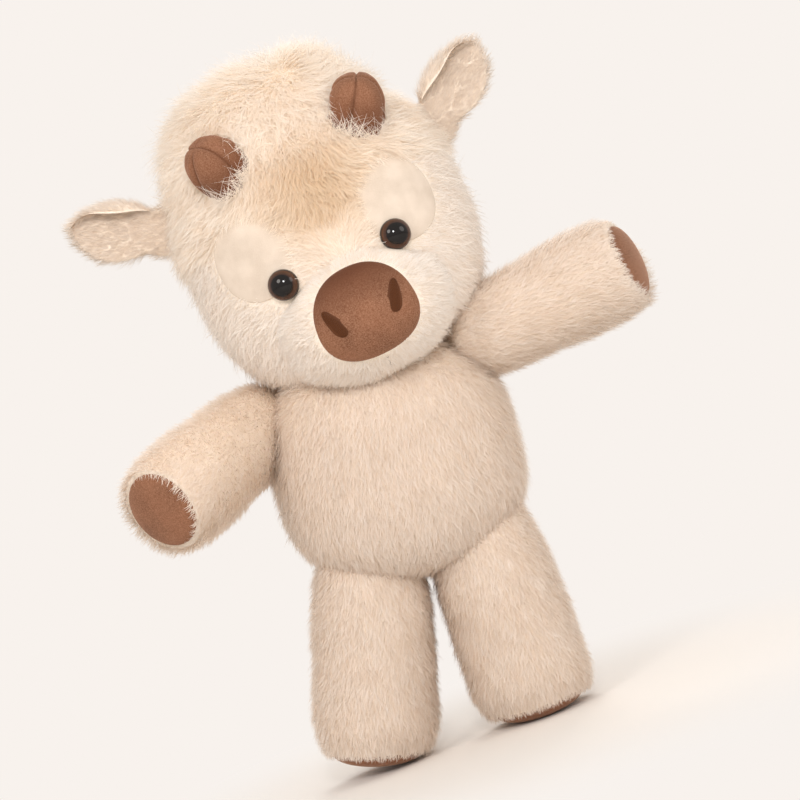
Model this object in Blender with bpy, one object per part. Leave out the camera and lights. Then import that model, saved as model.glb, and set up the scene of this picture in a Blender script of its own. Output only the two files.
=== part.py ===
# Plush cow: fur fabric skins over fibre stuffing, sewn limbs, ears and tail, with a velour nose and horns.
# Metres, +Z up. The toy stands on its two soles and faces -Y, so its own left side is at +X.
# Each cut piece of fabric, each block of stuffing, each eye and each washer is an object of its own.

import math

import bmesh
import bpy
from mathutils import Matrix, Vector

# Fabric and gaps
SKIN_WALL = 0.0024
VELOUR_WALL = 0.0012
SEAT_GAP = 0.0003
PATCH_GAP = 0.0005
JOINT_GAP = 0.0009
CUT_OVERRUN = 0.02
FLOOR_CUT_SIZE = 0.6

# Torso, a full rounded pear that leans a little to the toy's left
TORSO_HEIGHT = 0.200
TORSO_HALF_WIDTH = 0.083
TORSO_HALF_DEPTH = 0.070
TORSO_HALF_HEIGHT = 0.079
TORSO_LEAN = math.radians(4)
NECK_RISE = 0.071
HEAD_SHIFT = 0.012
CHIN_CLEAR_RADIUS = 0.0735

# Head, which leans to the toy's right and looks slightly to its left
HEAD_RISE = 0.094
HEAD_HALF_WIDTH = 0.096
HEAD_HALF_DEPTH = 0.082
HEAD_CROWN_RISE = 0.084
HEAD_CHIN_DROP = 0.104
HEAD_LEAN = math.radians(-6.5)
HEAD_LOOK = math.radians(0.5)

# Muzzle and nose, in the head's own axes
MUZZLE_DROP = 0.065
MUZZLE_FORWARD = 0.056
MUZZLE_HALF_WIDTH = 0.056
MUZZLE_HALF_DEPTH = 0.053
MUZZLE_HALF_HEIGHT = 0.041
NOSE_WIDTH = 0.076
NOSE_HEIGHT = 0.061
NOSE_TOP_SHARE = 0.86
NOSTRIL_SPREAD = 0.0215
NOSTRIL_LENGTH = 0.021
NOSTRIL_WIDTH = 0.0105
NOSTRIL_TIP_SHARE = 0.35
NOSTRIL_TILT = math.radians(22)
EMBROIDERY_WALL = 0.0009
CHIN_STITCH_LENGTH = 0.007
CHIN_STITCH_WIDTH = 0.0016
CHIN_STITCH_DROP = 0.0363

# Eyes, their patches and their washers
EYE_SPREAD = 0.0398
EYE_DROP = 0.0268
LEFT_EYE_LOWER = 0.0011
EYE_DIAMETER = 0.021
EYE_DOME = 0.0085
EYE_SHANK_DIAMETER = 0.005
EYE_SHANK_LENGTH = 0.016
PATCH_WIDTH = 0.051
PATCH_HEIGHT = 0.058
PATCH_SPREAD = 0.0505
PATCH_DROP = 0.004
LEFT_PATCH_LOWER = 0.003
WASHER_DIAMETER = 0.018
WASHER_THICKNESS = 0.002
WASHER_SEAT = 0.003

# Horns, hair and ears
HORN_SPREAD = 0.0475
HORN_SEWN_UNEVEN = 0.005
HORN_RISE = 0.057
LEFT_HORN_LOWER = 0.002
HORN_BASE_RADIUS = 0.0195
HORN_LENGTH = 0.031
HORN_ROOT = 0.018
HORN_OUTWARD = math.radians(22)
HORN_FORWARD = math.radians(40)
HAIR_INSIDE_CHEEKS = 0.015
HAIR_INSIDE_FACE = 0.006
HAIR_HALF_WIDTH = HEAD_HALF_WIDTH - HAIR_INSIDE_CHEEKS
HAIR_HALF_DEPTH = HEAD_HALF_DEPTH - HAIR_INSIDE_FACE
HAIR_CENTRE_RISE = 0.040
HAIR_HEIGHT = 0.081
EAR_LENGTH = 0.060
EAR_WIDTH = 0.050
EAR_ROOT_WIDTH = 0.036
EAR_STRAIGHT_SHARE = 0.15
EAR_WIDEST_SHARE = 0.40
EAR_THICKNESS = 0.012
EAR_CUP_RAMP_SHARE = 0.33
EAR_EDGE_THIN_SHARE = 0.85
EAR_TIP_THIN_SHARE = 0.6
EAR_TIP_POWER = 1.0
EAR_CUP = 0.010
EAR_PIVOT_OUTSET = 0.002
EAR_SPREAD = HEAD_HALF_WIDTH + EAR_PIVOT_OUTSET
EAR_RISE = 0.0405
EAR_SEWN_UNEVEN = 0.0075
RIGHT_EAR_LIFT = math.radians(34)
LEFT_EAR_LIFT = math.radians(44)

# Arms
ARM_ROOT_RADIUS = 0.0265
ARM_NECK_RADIUS = 0.0245
ARM_RADIUS = 0.033
ARM_LENGTH = 0.103
SHOULDER_SPREAD = 0.0935
SHOULDER_RISE = 0.042
SHOULDER_FORWARD = 0.010
LEFT_SHOULDER_LIFT = 0.0270
LEFT_SHOULDER_OUTSET = -0.0035
RIGHT_ARM_DROP = math.radians(27)
RIGHT_ARM_FORWARD = math.radians(47)
LEFT_ARM_DROP = math.radians(-10.5)
LEFT_ARM_FORWARD = math.radians(4)
PAW_PAD_RADIUS = 0.027
PAW_PAD_DOME = 0.006

# Legs
LEG_ROOT_RADIUS = 0.034
LEG_NECK_RADIUS = 0.033
LEG_RADIUS = 0.0395
HIP_SPREAD = 0.0445
HIP_DROP = 0.099
HIP_FORWARD = 0.006
RIGHT_LEG_SPLAY = math.radians(17)
LEFT_LEG_SPLAY = math.radians(0)
SOLE_PAD_RADIUS = 0.032
SOLE_PAD_DOME = 0.005
SOLE_FLAT = 0.001

# Tail and closing seam, both at the back
TAIL_HEIGHT_IN_TORSO = -0.018
TAIL_ROOT_RADIUS = 0.0075
TAIL_RADIUS = 0.0055
TAIL_LENGTH = 0.034
TAIL_STAND_OFF = 0.006
TAIL_TUFT_LENGTH = 0.026
TAIL_TUFT_RADIUS = 0.0105
CLOSING_STITCHES = 7
CLOSING_PITCH = 0.007
CLOSING_HEIGHT_IN_TORSO = 0.020
STITCH_LENGTH = 0.005
STITCH_RADIUS = 0.0005

# How square the stuffed forms are: 2 is an ellipse, more is fuller
TORSO_UP_POWER = 2.7
TORSO_ROUND_POWER = 2.2
HEAD_UP_POWER = 2.6
HEAD_ROUND_POWER = 2.3
SOFT_POWER = 2.2
HAIR_UP_POWER = 2.5

# Facets, and the share of a form's width over which its slope is measured
NORMAL_STEP_SHARE = 0.005
AROUND = 24
RINGS = 12
BALL_AROUND = 20
LIMB_AROUND = 16
SMALL_AROUND = 12


class Form:
    """A rounded, stuffed shape: half sizes from its centre, and how full its corners are."""

    def __init__(self, half_width, half_depth, up, down, round_power, up_power, frame):
        self.half_width = half_width
        self.half_depth = half_depth
        self.up = up
        self.down = down
        self.round_power = round_power
        self.up_power = up_power
        self.frame = frame

    def grown(self, by):
        """The same form, larger all round by this much, or smaller if it is negative."""
        return Form(self.half_width + by, self.half_depth + by, self.up + by, self.down + by,
                    self.round_power, self.up_power, self.frame)

    def front(self, x, z):
        """The point of the front face at this width and height, in the form's own axes."""
        height = self.up if z >= 0 else self.down
        ring = max(1 - abs(z / height) ** self.up_power, 0) ** (1 / self.up_power)
        left = max(ring ** self.round_power - abs(x / self.half_width) ** self.round_power, 0)
        return Vector((x, -self.half_depth * left ** (1 / self.round_power), z))

    def front_normal(self, x, z):
        """The outward direction of the front face at this width and height."""
        step = self.half_width * NORMAL_STEP_SHARE
        across = self.front(x + step, z) - self.front(x - step, z)
        upward = self.front(x, z + step) - self.front(x, z - step)
        return across.cross(upward).normalized()


def signed_power(value, power):
    return math.copysign(abs(value) ** power, value)


def plush(name, colour, roughness):
    """A material with the part's colour, given as sRGB hex."""
    material = bpy.data.materials.new(name)
    material.use_nodes = True
    shader = material.node_tree.nodes["Principled BSDF"]
    channels = [int(colour[i:i + 2], 16) / 255 for i in (0, 2, 4)]
    linear = [c / 12.92 if c <= 0.04045 else ((c + 0.055) / 1.055) ** 2.4 for c in channels]
    shader.inputs["Base Color"].default_value = (*linear, 1)
    shader.inputs["Roughness"].default_value = roughness
    return material


def clear_scene():
    for thing in list(bpy.data.objects):
        bpy.data.objects.remove(thing, do_unlink=True)


def empty(name, parent, matrix):
    """A joint's or a group's own axes, which the pieces on it are placed by."""
    thing = bpy.data.objects.new(name, None)
    bpy.context.scene.collection.objects.link(thing)
    thing.empty_display_size = SKIN_WALL
    thing.parent = parent
    thing.matrix_local = matrix
    return thing


def piece(name, mesh_data, parent, matrix, material, smooth=True):
    """Link a finished bmesh as one named object with its own copy of a material."""
    bmesh.ops.recalc_face_normals(mesh_data, faces=mesh_data.faces[:])
    mesh = bpy.data.meshes.new(name)
    mesh_data.to_mesh(mesh)
    mesh_data.free()
    if smooth:
        mesh.shade_smooth()
    thing = bpy.data.objects.new(name, mesh)
    bpy.context.scene.collection.objects.link(thing)
    thing.parent = parent
    thing.matrix_local = matrix
    if material is not None:
        own = material.copy()
        own.name = name + "_" + material.name
        mesh.materials.append(own)
    return thing


def cutter(name, mesh_data, parent, matrix):
    thing = piece(name, mesh_data, parent, matrix, None, smooth=False)
    thing.hide_render = True
    thing.display_type = "WIRE"
    return thing


def cut(thing, *cutters):
    for tool in cutters:
        boolean = thing.modifiers.new("cut by " + tool.name, "BOOLEAN")
        boolean.operation = "DIFFERENCE"
        boolean.object = tool


def turned(profile, around):
    """A solid of revolution about Z. The profile runs from pole to pole as (radius, height)."""
    mesh = bmesh.new()
    rings = []
    for radius, height in profile:
        if radius == 0:
            rings.append([mesh.verts.new((0, 0, height))])
            continue
        ring = []
        for i in range(around):
            angle = 2 * math.pi * i / around
            ring.append(mesh.verts.new((radius * math.cos(angle), radius * math.sin(angle), height)))
        rings.append(ring)
    join_rings(mesh, rings)
    return mesh


def join_rings(mesh, rings):
    """Skin neighbouring rings with faces; a ring of one vertex is a pole, and open ends are capped."""
    for low, high in zip(rings, rings[1:]):
        count = max(len(low), len(high))
        for i in range(count):
            j = (i + 1) % count
            if len(low) == 1:
                mesh.faces.new((low[0], high[j], high[i]))
            elif len(high) == 1:
                mesh.faces.new((low[i], low[j], high[0]))
            else:
                mesh.faces.new((low[i], low[j], high[j], high[i]))
    for ring in (rings[0], rings[-1]):
        if len(ring) > 1:
            mesh.faces.new(ring)


def stuffed(form, around=AROUND, rings=RINGS):
    """The closed surface of a form."""
    mesh = bmesh.new()
    loops = []
    for r in range(rings + 1):
        rise = -math.pi / 2 + math.pi * r / rings
        height = form.up if rise >= 0 else form.down
        z = height * signed_power(math.sin(rise), 2 / form.up_power)
        reach = abs(math.cos(rise)) ** (2 / form.up_power) if 0 < r < rings else 0
        if reach == 0:
            loops.append([mesh.verts.new((0, 0, z))])
            continue
        loop = []
        for i in range(around):
            angle = 2 * math.pi * i / around
            x = form.half_width * reach * signed_power(math.cos(angle), 2 / form.round_power)
            y = form.half_depth * reach * signed_power(math.sin(angle), 2 / form.round_power)
            loop.append(mesh.verts.new((x, y, z)))
        loops.append(loop)
    join_rings(mesh, loops)
    return mesh


def ball(radius, around=BALL_AROUND):
    profile = []
    steps = around // 2
    for i in range(steps + 1):
        angle = math.pi * i / steps
        reach = radius * math.sin(angle) if 0 < i < steps else 0
        profile.append((reach, -radius * math.cos(angle)))
    return turned(profile, around)


def rod(radius, low, high, around=SMALL_AROUND):
    return turned([(0, low), (radius, low), (radius, high), (0, high)], around)


def block(width, depth, low, high):
    mesh = bmesh.new()
    bmesh.ops.create_cube(mesh, size=1)
    middle = (low + high) / 2
    place = Matrix.Translation((0, 0, middle)) @ Matrix.Diagonal((width, depth, high - low, 1))
    bmesh.ops.transform(mesh, matrix=place, verts=mesh.verts[:])
    return mesh


def aim(direction):
    """The rotation that points +Z along a direction and keeps X as level as it can."""
    return Vector(direction).to_track_quat("Z", "Y").to_matrix().to_4x4()


def smooth_profile(points, steps):
    """Points along a Catmull-Rom curve through a hand-drawn profile of (radius, height)."""
    out = []
    for i in range(len(points) - 1):
        before = points[max(i - 1, 0)]
        start, end = points[i], points[i + 1]
        after = points[min(i + 2, len(points) - 1)]
        for s in range(steps):
            t = s / steps
            spot = []
            for a, b, c, d in zip(before, start, end, after):
                spot.append(0.5 * (2 * b + (c - a) * t + (2 * a - 5 * b + 4 * c - d) * t * t
                                   + (3 * b - a - 3 * c + d) * t ** 3))
            out.append(tuple(spot))
    out.append(points[-1])
    return out


# Torso


def build_torso(root, fur, fibre, thread):
    frame = Matrix.Translation((0, 0, TORSO_HEIGHT)) @ Matrix.Rotation(TORSO_LEAN, 4, "Y")
    torso = empty("torso_axes", root, frame)
    form = Form(TORSO_HALF_WIDTH, TORSO_HALF_DEPTH, TORSO_HALF_HEIGHT, TORSO_HALF_HEIGHT,
                TORSO_ROUND_POWER, TORSO_UP_POWER, frame)
    skin = piece("body_skin", stuffed(form), torso, Matrix(), fur)
    hollow = cutter("body_hollow", stuffed(form.grown(-SKIN_WALL)), torso, Matrix())
    core = piece("body_stuffing", stuffed(form.grown(-SKIN_WALL - SEAT_GAP)), torso, Matrix(), fibre)
    reach = TORSO_HALF_WIDTH + CUT_OVERRUN
    above = cutter("neck_cut_above", block(2 * reach, 2 * reach, 0, reach), root,
                   Matrix.Translation((0, 0, TORSO_HEIGHT + NECK_RISE)))
    cut(skin, hollow, above)
    cut(core, above)
    closing_seam(torso, form, thread)
    return torso, form, skin, core


def closing_seam(torso, form, thread):
    """The thread that closes the back once the toy is stuffed: one ladder of stitches, side to side."""
    seat = SEAT_GAP + STITCH_RADIUS
    curve = bpy.data.curves.new("closing_thread", "CURVE")
    curve.dimensions = "3D"
    curve.bevel_depth = STITCH_RADIUS
    curve.bevel_resolution = 1
    curve.use_fill_caps = True
    points = []
    for k in range(CLOSING_STITCHES):
        z = CLOSING_HEIGHT_IN_TORSO + CLOSING_PITCH * (k - (CLOSING_STITCHES - 1) / 2)
        side = STITCH_LENGTH / 2 if k % 2 else -STITCH_LENGTH / 2
        for x, lift in ((-side, -CLOSING_PITCH / 4), (side, CLOSING_PITCH / 4)):
            points.append((x, seat - form.front(x, z + lift).y, z + lift))
    spline = curve.splines.new("POLY")
    spline.points.add(len(points) - 1)
    for point, spot in zip(spline.points, points):
        point.co = (*spot, 1)
    thing = bpy.data.objects.new("closing_thread", curve)
    bpy.context.scene.collection.objects.link(thing)
    thing.parent = torso
    own = thread.copy()
    own.name = "closing_thread_" + thread.name
    curve.materials.append(own)
    return thing


# Limbs


def limb_profile(root_radius, neck_radius, radius, length, end_radius):
    """Half section of a stuffed limb: a round root, a slight neck, a full middle, a rounded paw."""
    swell_shares = ((0.30, 0.42), (0.58, 0.92), (0.80, 1.00))
    shoulder_share, end_share = 0.93, 0.93
    points = []
    turns = 5
    for i in range(turns):
        angle = math.radians(90) * i / turns
        points.append((root_radius * math.sin(angle), -root_radius * math.cos(angle)))
    points[0] = (0, -root_radius)
    points.append((neck_radius, 0))
    body = [(neck_radius, 0)]
    for along, full in swell_shares:
        body.append((neck_radius + (radius - neck_radius) * full, length * along))
    body.append((radius * shoulder_share, length * end_share))
    body.append((end_radius, length))
    return points[:-1] + smooth_profile(body, 2)


def limb(name, side_parent, pivot, direction, root_radius, neck_radius, radius, length, pad_radius, pad_dome,
         fur, fibre, velour, pad_name):
    """A sleeve of fur fabric, open at root and paw, with stuffing inside and a velour pad."""
    axes = empty(name + "_axes", side_parent, Matrix.Translation(pivot) @ aim(direction))
    outer = limb_profile(root_radius, neck_radius, radius, length, pad_radius + SKIN_WALL)
    skin = piece(name + "_skin", turned(outer + [(0, length)], LIMB_AROUND), axes, Matrix(), fur)
    inner = limb_profile(root_radius - SKIN_WALL, neck_radius - SKIN_WALL, radius - SKIN_WALL,
                         length, pad_radius)
    past_end = length + CUT_OVERRUN
    bore = cutter(name + "_bore", turned(inner + [(pad_radius, past_end), (0, past_end)], LIMB_AROUND),
                  axes, Matrix())
    half_root = root_radius / 2
    mouth = cutter(name + "_mouth", rod(half_root, -root_radius - CUT_OVERRUN, -half_root), axes, Matrix())
    cut(skin, bore, mouth)
    slack = SKIN_WALL + SEAT_GAP
    fill_end = length - VELOUR_WALL - SEAT_GAP
    filling = limb_profile(root_radius - slack, neck_radius - slack, radius - slack, fill_end,
                           pad_radius - SEAT_GAP)
    core = piece(name + "_stuffing", turned(filling + [(0, fill_end)], LIMB_AROUND), axes, Matrix(), fibre)
    pad = paw_pad(pad_name, axes, length, pad_radius - SEAT_GAP, pad_dome, velour)
    return axes, skin, core, pad


def paw_pad(name, axes, length, radius, dome, velour):
    """A round velour pad that closes the open end of a sleeve and swells a little."""
    steps = 4
    profile = [(0, length - VELOUR_WALL), (radius, length - VELOUR_WALL)]
    for i in range(steps + 1):
        angle = math.pi / 2 * i / steps
        reach = radius * math.cos(angle) if i < steps else 0
        profile.append((reach, length + dome * math.sin(angle)))
    return piece(name, turned(profile, LIMB_AROUND), axes, Matrix(), velour)


def socket(name, torso_pieces, axes, root_radius):
    """The round hollow in the torso that a limb's root turns in."""
    tool = cutter(name + "_socket", ball(root_radius + JOINT_GAP), axes, Matrix())
    for thing in torso_pieces:
        cut(thing, tool)


def build_arms(torso, torso_pieces, fur, fibre, velour):
    arms = {}
    shoulders = (("right", -1, SHOULDER_SPREAD, SHOULDER_RISE, RIGHT_ARM_DROP, RIGHT_ARM_FORWARD),
                 ("left", 1, SHOULDER_SPREAD + LEFT_SHOULDER_OUTSET, SHOULDER_RISE + LEFT_SHOULDER_LIFT,
                  LEFT_ARM_DROP, LEFT_ARM_FORWARD))
    for side, sign, spread, rise, drop, forward in shoulders:
        pivot = (sign * spread, -SHOULDER_FORWARD, rise)
        level = math.cos(forward) * math.cos(drop)
        direction = (sign * level, -math.sin(forward), -math.cos(forward) * math.sin(drop))
        parts = limb("arm_" + side, torso, pivot, direction, ARM_ROOT_RADIUS, ARM_NECK_RADIUS, ARM_RADIUS,
                     ARM_LENGTH, PAW_PAD_RADIUS, PAW_PAD_DOME, fur, fibre, velour, "paw_pad_" + side)
        socket("arm_" + side, torso_pieces, parts[0], ARM_ROOT_RADIUS)
        arms[side] = parts
    return arms


def build_legs(root, torso_pieces, fur, fibre, velour):
    lean_shift = -HIP_DROP * math.tan(TORSO_LEAN)
    floor = cutter("floor_cut", block(FLOOR_CUT_SIZE, FLOOR_CUT_SIZE, -CUT_OVERRUN, 0), root, Matrix())
    for side, sign, splay in (("right", -1, RIGHT_LEG_SPLAY), ("left", 1, LEFT_LEG_SPLAY)):
        height = TORSO_HEIGHT - HIP_DROP - sign * HIP_SPREAD * math.sin(TORSO_LEAN)
        pivot = (sign * HIP_SPREAD + lean_shift, -HIP_FORWARD, height)
        direction = (sign * math.sin(splay), 0, -math.cos(splay))
        swell = math.hypot(SOLE_PAD_RADIUS * math.sin(splay), SOLE_PAD_DOME * math.cos(splay))
        reach = max(swell, (SOLE_PAD_RADIUS + SKIN_WALL) * math.sin(splay))
        length = (height + SOLE_FLAT - reach) / math.cos(splay)
        parts = limb("leg_" + side, root, pivot, direction, LEG_ROOT_RADIUS, LEG_NECK_RADIUS, LEG_RADIUS,
                     length, SOLE_PAD_RADIUS, SOLE_PAD_DOME, fur, fibre, velour, "sole_pad_" + side)
        cut(parts[1], floor)
        cut(parts[3], floor)
        socket("leg_" + side, torso_pieces, parts[0], LEG_ROOT_RADIUS)


# Head


def oval(width, height, power, top_share=1.0):
    """An oval outline about its own centre; below 1, the share makes it narrower at the top."""
    points = []
    for i in range(BALL_AROUND):
        angle = 2 * math.pi * i / BALL_AROUND
        x = width / 2 * signed_power(math.cos(angle), 2 / power)
        z = height / 2 * signed_power(math.sin(angle), 2 / power)
        narrow = 1 - (1 - top_share) * (z / height + 0.5)
        points.append((x * narrow, z))
    return points


def teardrop(length, width, tip_share):
    """A drop with its round end down."""
    points = []
    for i in range(SMALL_AROUND):
        angle = 2 * math.pi * i / SMALL_AROUND
        z = length / 2 * math.sin(angle)
        narrow = tip_share + (1 - tip_share) * (0.5 - z / length)
        points.append((width / 2 * math.cos(angle) * narrow, z))
    return points


def laid_patch(name, form, outline, centre, tilt, lift, wall, parent, material, rings=4):
    """A thin piece of fabric that lies on the front of a form, in a given outline."""
    mesh = bmesh.new()
    sides = []
    for height in (lift, lift + wall):
        surface = form.grown(height)
        loops = [[mesh.verts.new(surface.front(*centre))]]
        for r in range(1, rings + 1):
            size = r / rings
            loop = []
            for x, z in outline:
                turned_x = size * (x * math.cos(tilt) + z * math.sin(tilt)) + centre[0]
                turned_z = size * (z * math.cos(tilt) - x * math.sin(tilt)) + centre[1]
                loop.append(mesh.verts.new(surface.front(turned_x, turned_z)))
            loops.append(loop)
        sides.append(loops)
    join_rings(mesh, sides[0] + sides[1][::-1])
    return piece(name, mesh, parent, Matrix(), material)


def build_head(root, torso_form, fur, fibre):
    neck_x = NECK_RISE * math.tan(TORSO_LEAN) + HEAD_SHIFT
    neck = empty("neck_axes", root, Matrix.Translation((neck_x, 0, TORSO_HEIGHT + NECK_RISE)))
    frame = (Matrix.Rotation(HEAD_LOOK, 4, "Z") @ Matrix.Rotation(HEAD_LEAN, 4, "Y")
             @ Matrix.Translation((0, 0, HEAD_RISE)))
    head = empty("head_axes", neck, frame)
    form = Form(HEAD_HALF_WIDTH, HEAD_HALF_DEPTH, HEAD_CROWN_RISE, HEAD_CHIN_DROP,
                HEAD_ROUND_POWER, HEAD_UP_POWER, frame)
    skin = piece("head_skin", stuffed(form), head, Matrix(), fur)
    hollow = cutter("head_hollow", stuffed(form.grown(-SKIN_WALL)), head, Matrix())
    core = piece("head_stuffing", stuffed(form.grown(-SKIN_WALL - SEAT_GAP)), head, Matrix(), fibre)
    reach = HEAD_HALF_WIDTH + CUT_OVERRUN
    below = cutter("neck_cut_below", block(2 * reach, 2 * reach, -reach, SEAT_GAP), neck, Matrix())
    cut(skin, hollow, below)
    cut(core, below)
    return neck, head, form, skin, core


def build_muzzle(neck, head, head_form, fur, fibre):
    centre = Matrix.Translation((0, -MUZZLE_FORWARD, -MUZZLE_DROP))
    muzzle = empty("muzzle_axes", head, centre)
    form = Form(MUZZLE_HALF_WIDTH, MUZZLE_HALF_DEPTH, MUZZLE_HALF_HEIGHT, MUZZLE_HALF_HEIGHT,
                SOFT_POWER, SOFT_POWER, centre)
    skin = piece("muzzle_skin", stuffed(form, BALL_AROUND, BALL_AROUND // 2), muzzle, Matrix(), fur)
    hollow = cutter("muzzle_hollow", stuffed(form.grown(-SKIN_WALL), BALL_AROUND, BALL_AROUND // 2),
                    muzzle, Matrix())
    core = piece("muzzle_stuffing", stuffed(form.grown(-SKIN_WALL - SEAT_GAP), BALL_AROUND, BALL_AROUND // 2),
                 muzzle, Matrix(), fibre)
    face = cutter("face_surface", stuffed(head_form.grown(SEAT_GAP)), head, Matrix())
    reach = MUZZLE_HALF_HEIGHT + CUT_OVERRUN
    under = cutter("chin_clearance", rod(CHIN_CLEAR_RADIUS, -reach, SEAT_GAP, LIMB_AROUND), neck, Matrix())
    cut(skin, hollow, face, under)
    cut(core, face, under)
    return muzzle, form, skin, core, face


def build_nose(muzzle, form, velour, thread):
    nose = laid_patch("nose", form, oval(NOSE_WIDTH, NOSE_HEIGHT, SOFT_POWER, NOSE_TOP_SHARE), (0, 0), 0,
                      PATCH_GAP, VELOUR_WALL, muzzle, velour, 6)
    over_nose = 2 * PATCH_GAP + VELOUR_WALL
    for side, sign in (("right", -1), ("left", 1)):
        outline = teardrop(NOSTRIL_LENGTH, NOSTRIL_WIDTH, NOSTRIL_TIP_SHARE)
        laid_patch("nostril_" + side, form, outline, (sign * NOSTRIL_SPREAD, 0), sign * NOSTRIL_TILT,
                   over_nose, EMBROIDERY_WALL, muzzle, thread, 2)
    laid_patch("chin_stitch", form, oval(CHIN_STITCH_WIDTH, CHIN_STITCH_LENGTH, SOFT_POWER),
               (0, -CHIN_STITCH_DROP), 0, PATCH_GAP, EMBROIDERY_WALL, muzzle, thread, 2)
    return nose


def dome_profile(radius, height, steps=5):
    """Half section of a shallow dome that stands on its flat back."""
    points = [(0, 0), (radius, 0)]
    for i in range(1, steps + 1):
        angle = math.pi / 2 * i / steps
        reach = radius * math.cos(angle) if i < steps else 0
        points.append((reach, height * math.sin(angle)))
    return points


def build_eyes(head, form, head_pieces, muzzle_pieces, patch_fabric, eye_plastic, washer_plastic):
    skin, core = head_pieces
    shank_radius = EYE_SHANK_DIAMETER / 2
    eye_radius = EYE_DIAMETER / 2
    for side, sign in (("right", -1), ("left", 1)):
        patch = laid_patch("eye_patch_" + side, form, oval(PATCH_WIDTH, PATCH_HEIGHT, SOFT_POWER),
                           (sign * PATCH_SPREAD, -PATCH_DROP - sign * LEFT_PATCH_LOWER), 0, PATCH_GAP, VELOUR_WALL, head, patch_fabric)
        spot = (sign * EYE_SPREAD, -EYE_DROP - sign * LEFT_EYE_LOWER)
        outward = form.front_normal(*spot)
        seat = form.front(*spot) + outward * (2 * PATCH_GAP + VELOUR_WALL)
        axes = empty("eye_axes_" + side, head, Matrix.Translation(seat) @ aim(outward))
        sink = eye_radius ** 2 / (2 * HEAD_HALF_DEPTH)
        shape = [(0, -EYE_SHANK_LENGTH), (shank_radius, -EYE_SHANK_LENGTH), (shank_radius, 0)]
        shape += dome_profile(eye_radius, EYE_DOME)[1:]
        piece("eye_" + side, turned(shape, BALL_AROUND), axes, Matrix(), eye_plastic)
        hole = cutter("eye_hole_" + side, rod(shank_radius + SEAT_GAP, -EYE_SHANK_LENGTH - SEAT_GAP, sink),
                      axes, Matrix())
        clear = cutter("eye_clearance_" + side,
                       turned([(0, -CUT_OVERRUN)] + [(eye_radius + SEAT_GAP, -CUT_OVERRUN)]
                              + dome_profile(eye_radius + SEAT_GAP, EYE_DOME + SEAT_GAP)[1:], BALL_AROUND),
                       axes, Matrix())
        washer_top = -2 * PATCH_GAP - VELOUR_WALL - SKIN_WALL - WASHER_SEAT
        washer = [(shank_radius + SEAT_GAP, washer_top), (shank_radius + SEAT_GAP, washer_top - WASHER_THICKNESS),
                  (WASHER_DIAMETER / 2, washer_top - WASHER_THICKNESS), (WASHER_DIAMETER / 2, washer_top)]
        piece("eye_washer_" + side, ring_of(washer, SMALL_AROUND), axes, Matrix(), washer_plastic, smooth=False)
        bed = cutter("washer_bed_" + side, rod(WASHER_DIAMETER / 2 + SEAT_GAP,
                                               washer_top - WASHER_THICKNESS - SEAT_GAP, 0), axes, Matrix())
        cut(patch, hole)
        cut(skin, hole)
        cut(core, hole, bed)
        cut(muzzle_pieces[0], clear)
        cut(muzzle_pieces[1], clear)


def ring_of(section, around):
    """A closed ring: a section of (radius, height) corners turned about Z."""
    mesh = bmesh.new()
    loops = []
    for i in range(around):
        angle = 2 * math.pi * i / around
        loops.append([mesh.verts.new((r * math.cos(angle), r * math.sin(angle), h)) for r, h in section])
    for i in range(around):
        low, high = loops[i], loops[(i + 1) % around]
        for j in range(len(section)):
            k = (j + 1) % len(section)
            mesh.faces.new((low[j], low[k], high[k], high[j]))
    return mesh


def horn_profile(by):
    """Half section of a stubby horn with a round tip, smaller all round by this much if negative."""
    root = -HORN_ROOT if by < 0 else -HORN_ROOT - by
    shares = ((1.00, 0.0), (0.98, 0.32), (0.88, 0.62), (0.68, 0.84), (0.36, 0.96))
    points = [(0, root), (HORN_BASE_RADIUS + by, root)]
    for wide, along in shares:
        points.append((HORN_BASE_RADIUS * wide + by, HORN_LENGTH * along + by * along))
    points.append((0, HORN_LENGTH + by))
    return points


def build_horns(head, form, face, velour, fibre):
    tools = []
    for side, sign in (("right", -1), ("left", 1)):
        spot = form.front(sign * HORN_SPREAD + HORN_SEWN_UNEVEN, HORN_RISE - sign * LEFT_HORN_LOWER)
        direction = (sign * math.sin(HORN_OUTWARD), -math.sin(HORN_FORWARD), math.cos(HORN_FORWARD))
        axes = empty("horn_axes_" + side, head, Matrix.Translation(spot) @ aim(direction))
        skin = piece("horn_" + side, turned(horn_profile(0), LIMB_AROUND), axes, Matrix(), velour)
        hollow = cutter("horn_hollow_" + side, turned(horn_profile(-VELOUR_WALL), LIMB_AROUND), axes, Matrix())
        core = piece("horn_stuffing_" + side, turned(horn_profile(-VELOUR_WALL - SEAT_GAP), LIMB_AROUND),
                     axes, Matrix(), fibre)
        cut(skin, hollow, face)
        cut(core, face)
        tools.append(cutter("horn_clearance_" + side, turned(horn_profile(SEAT_GAP), LIMB_AROUND),
                            axes, Matrix()))
    return tools


def build_hair(head, face, horn_tools, long_fur):
    centre = Matrix.Translation((0, 0, HAIR_CENTRE_RISE))
    form = Form(HAIR_HALF_WIDTH, HAIR_HALF_DEPTH, HAIR_HEIGHT, HAIR_HEIGHT, SOFT_POWER, HAIR_UP_POWER, centre)
    hair = piece("hair_tuft", stuffed(form, BALL_AROUND, BALL_AROUND // 2), head, centre, long_fur)
    cut(hair, *horn_tools, face)
    return hair


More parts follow.
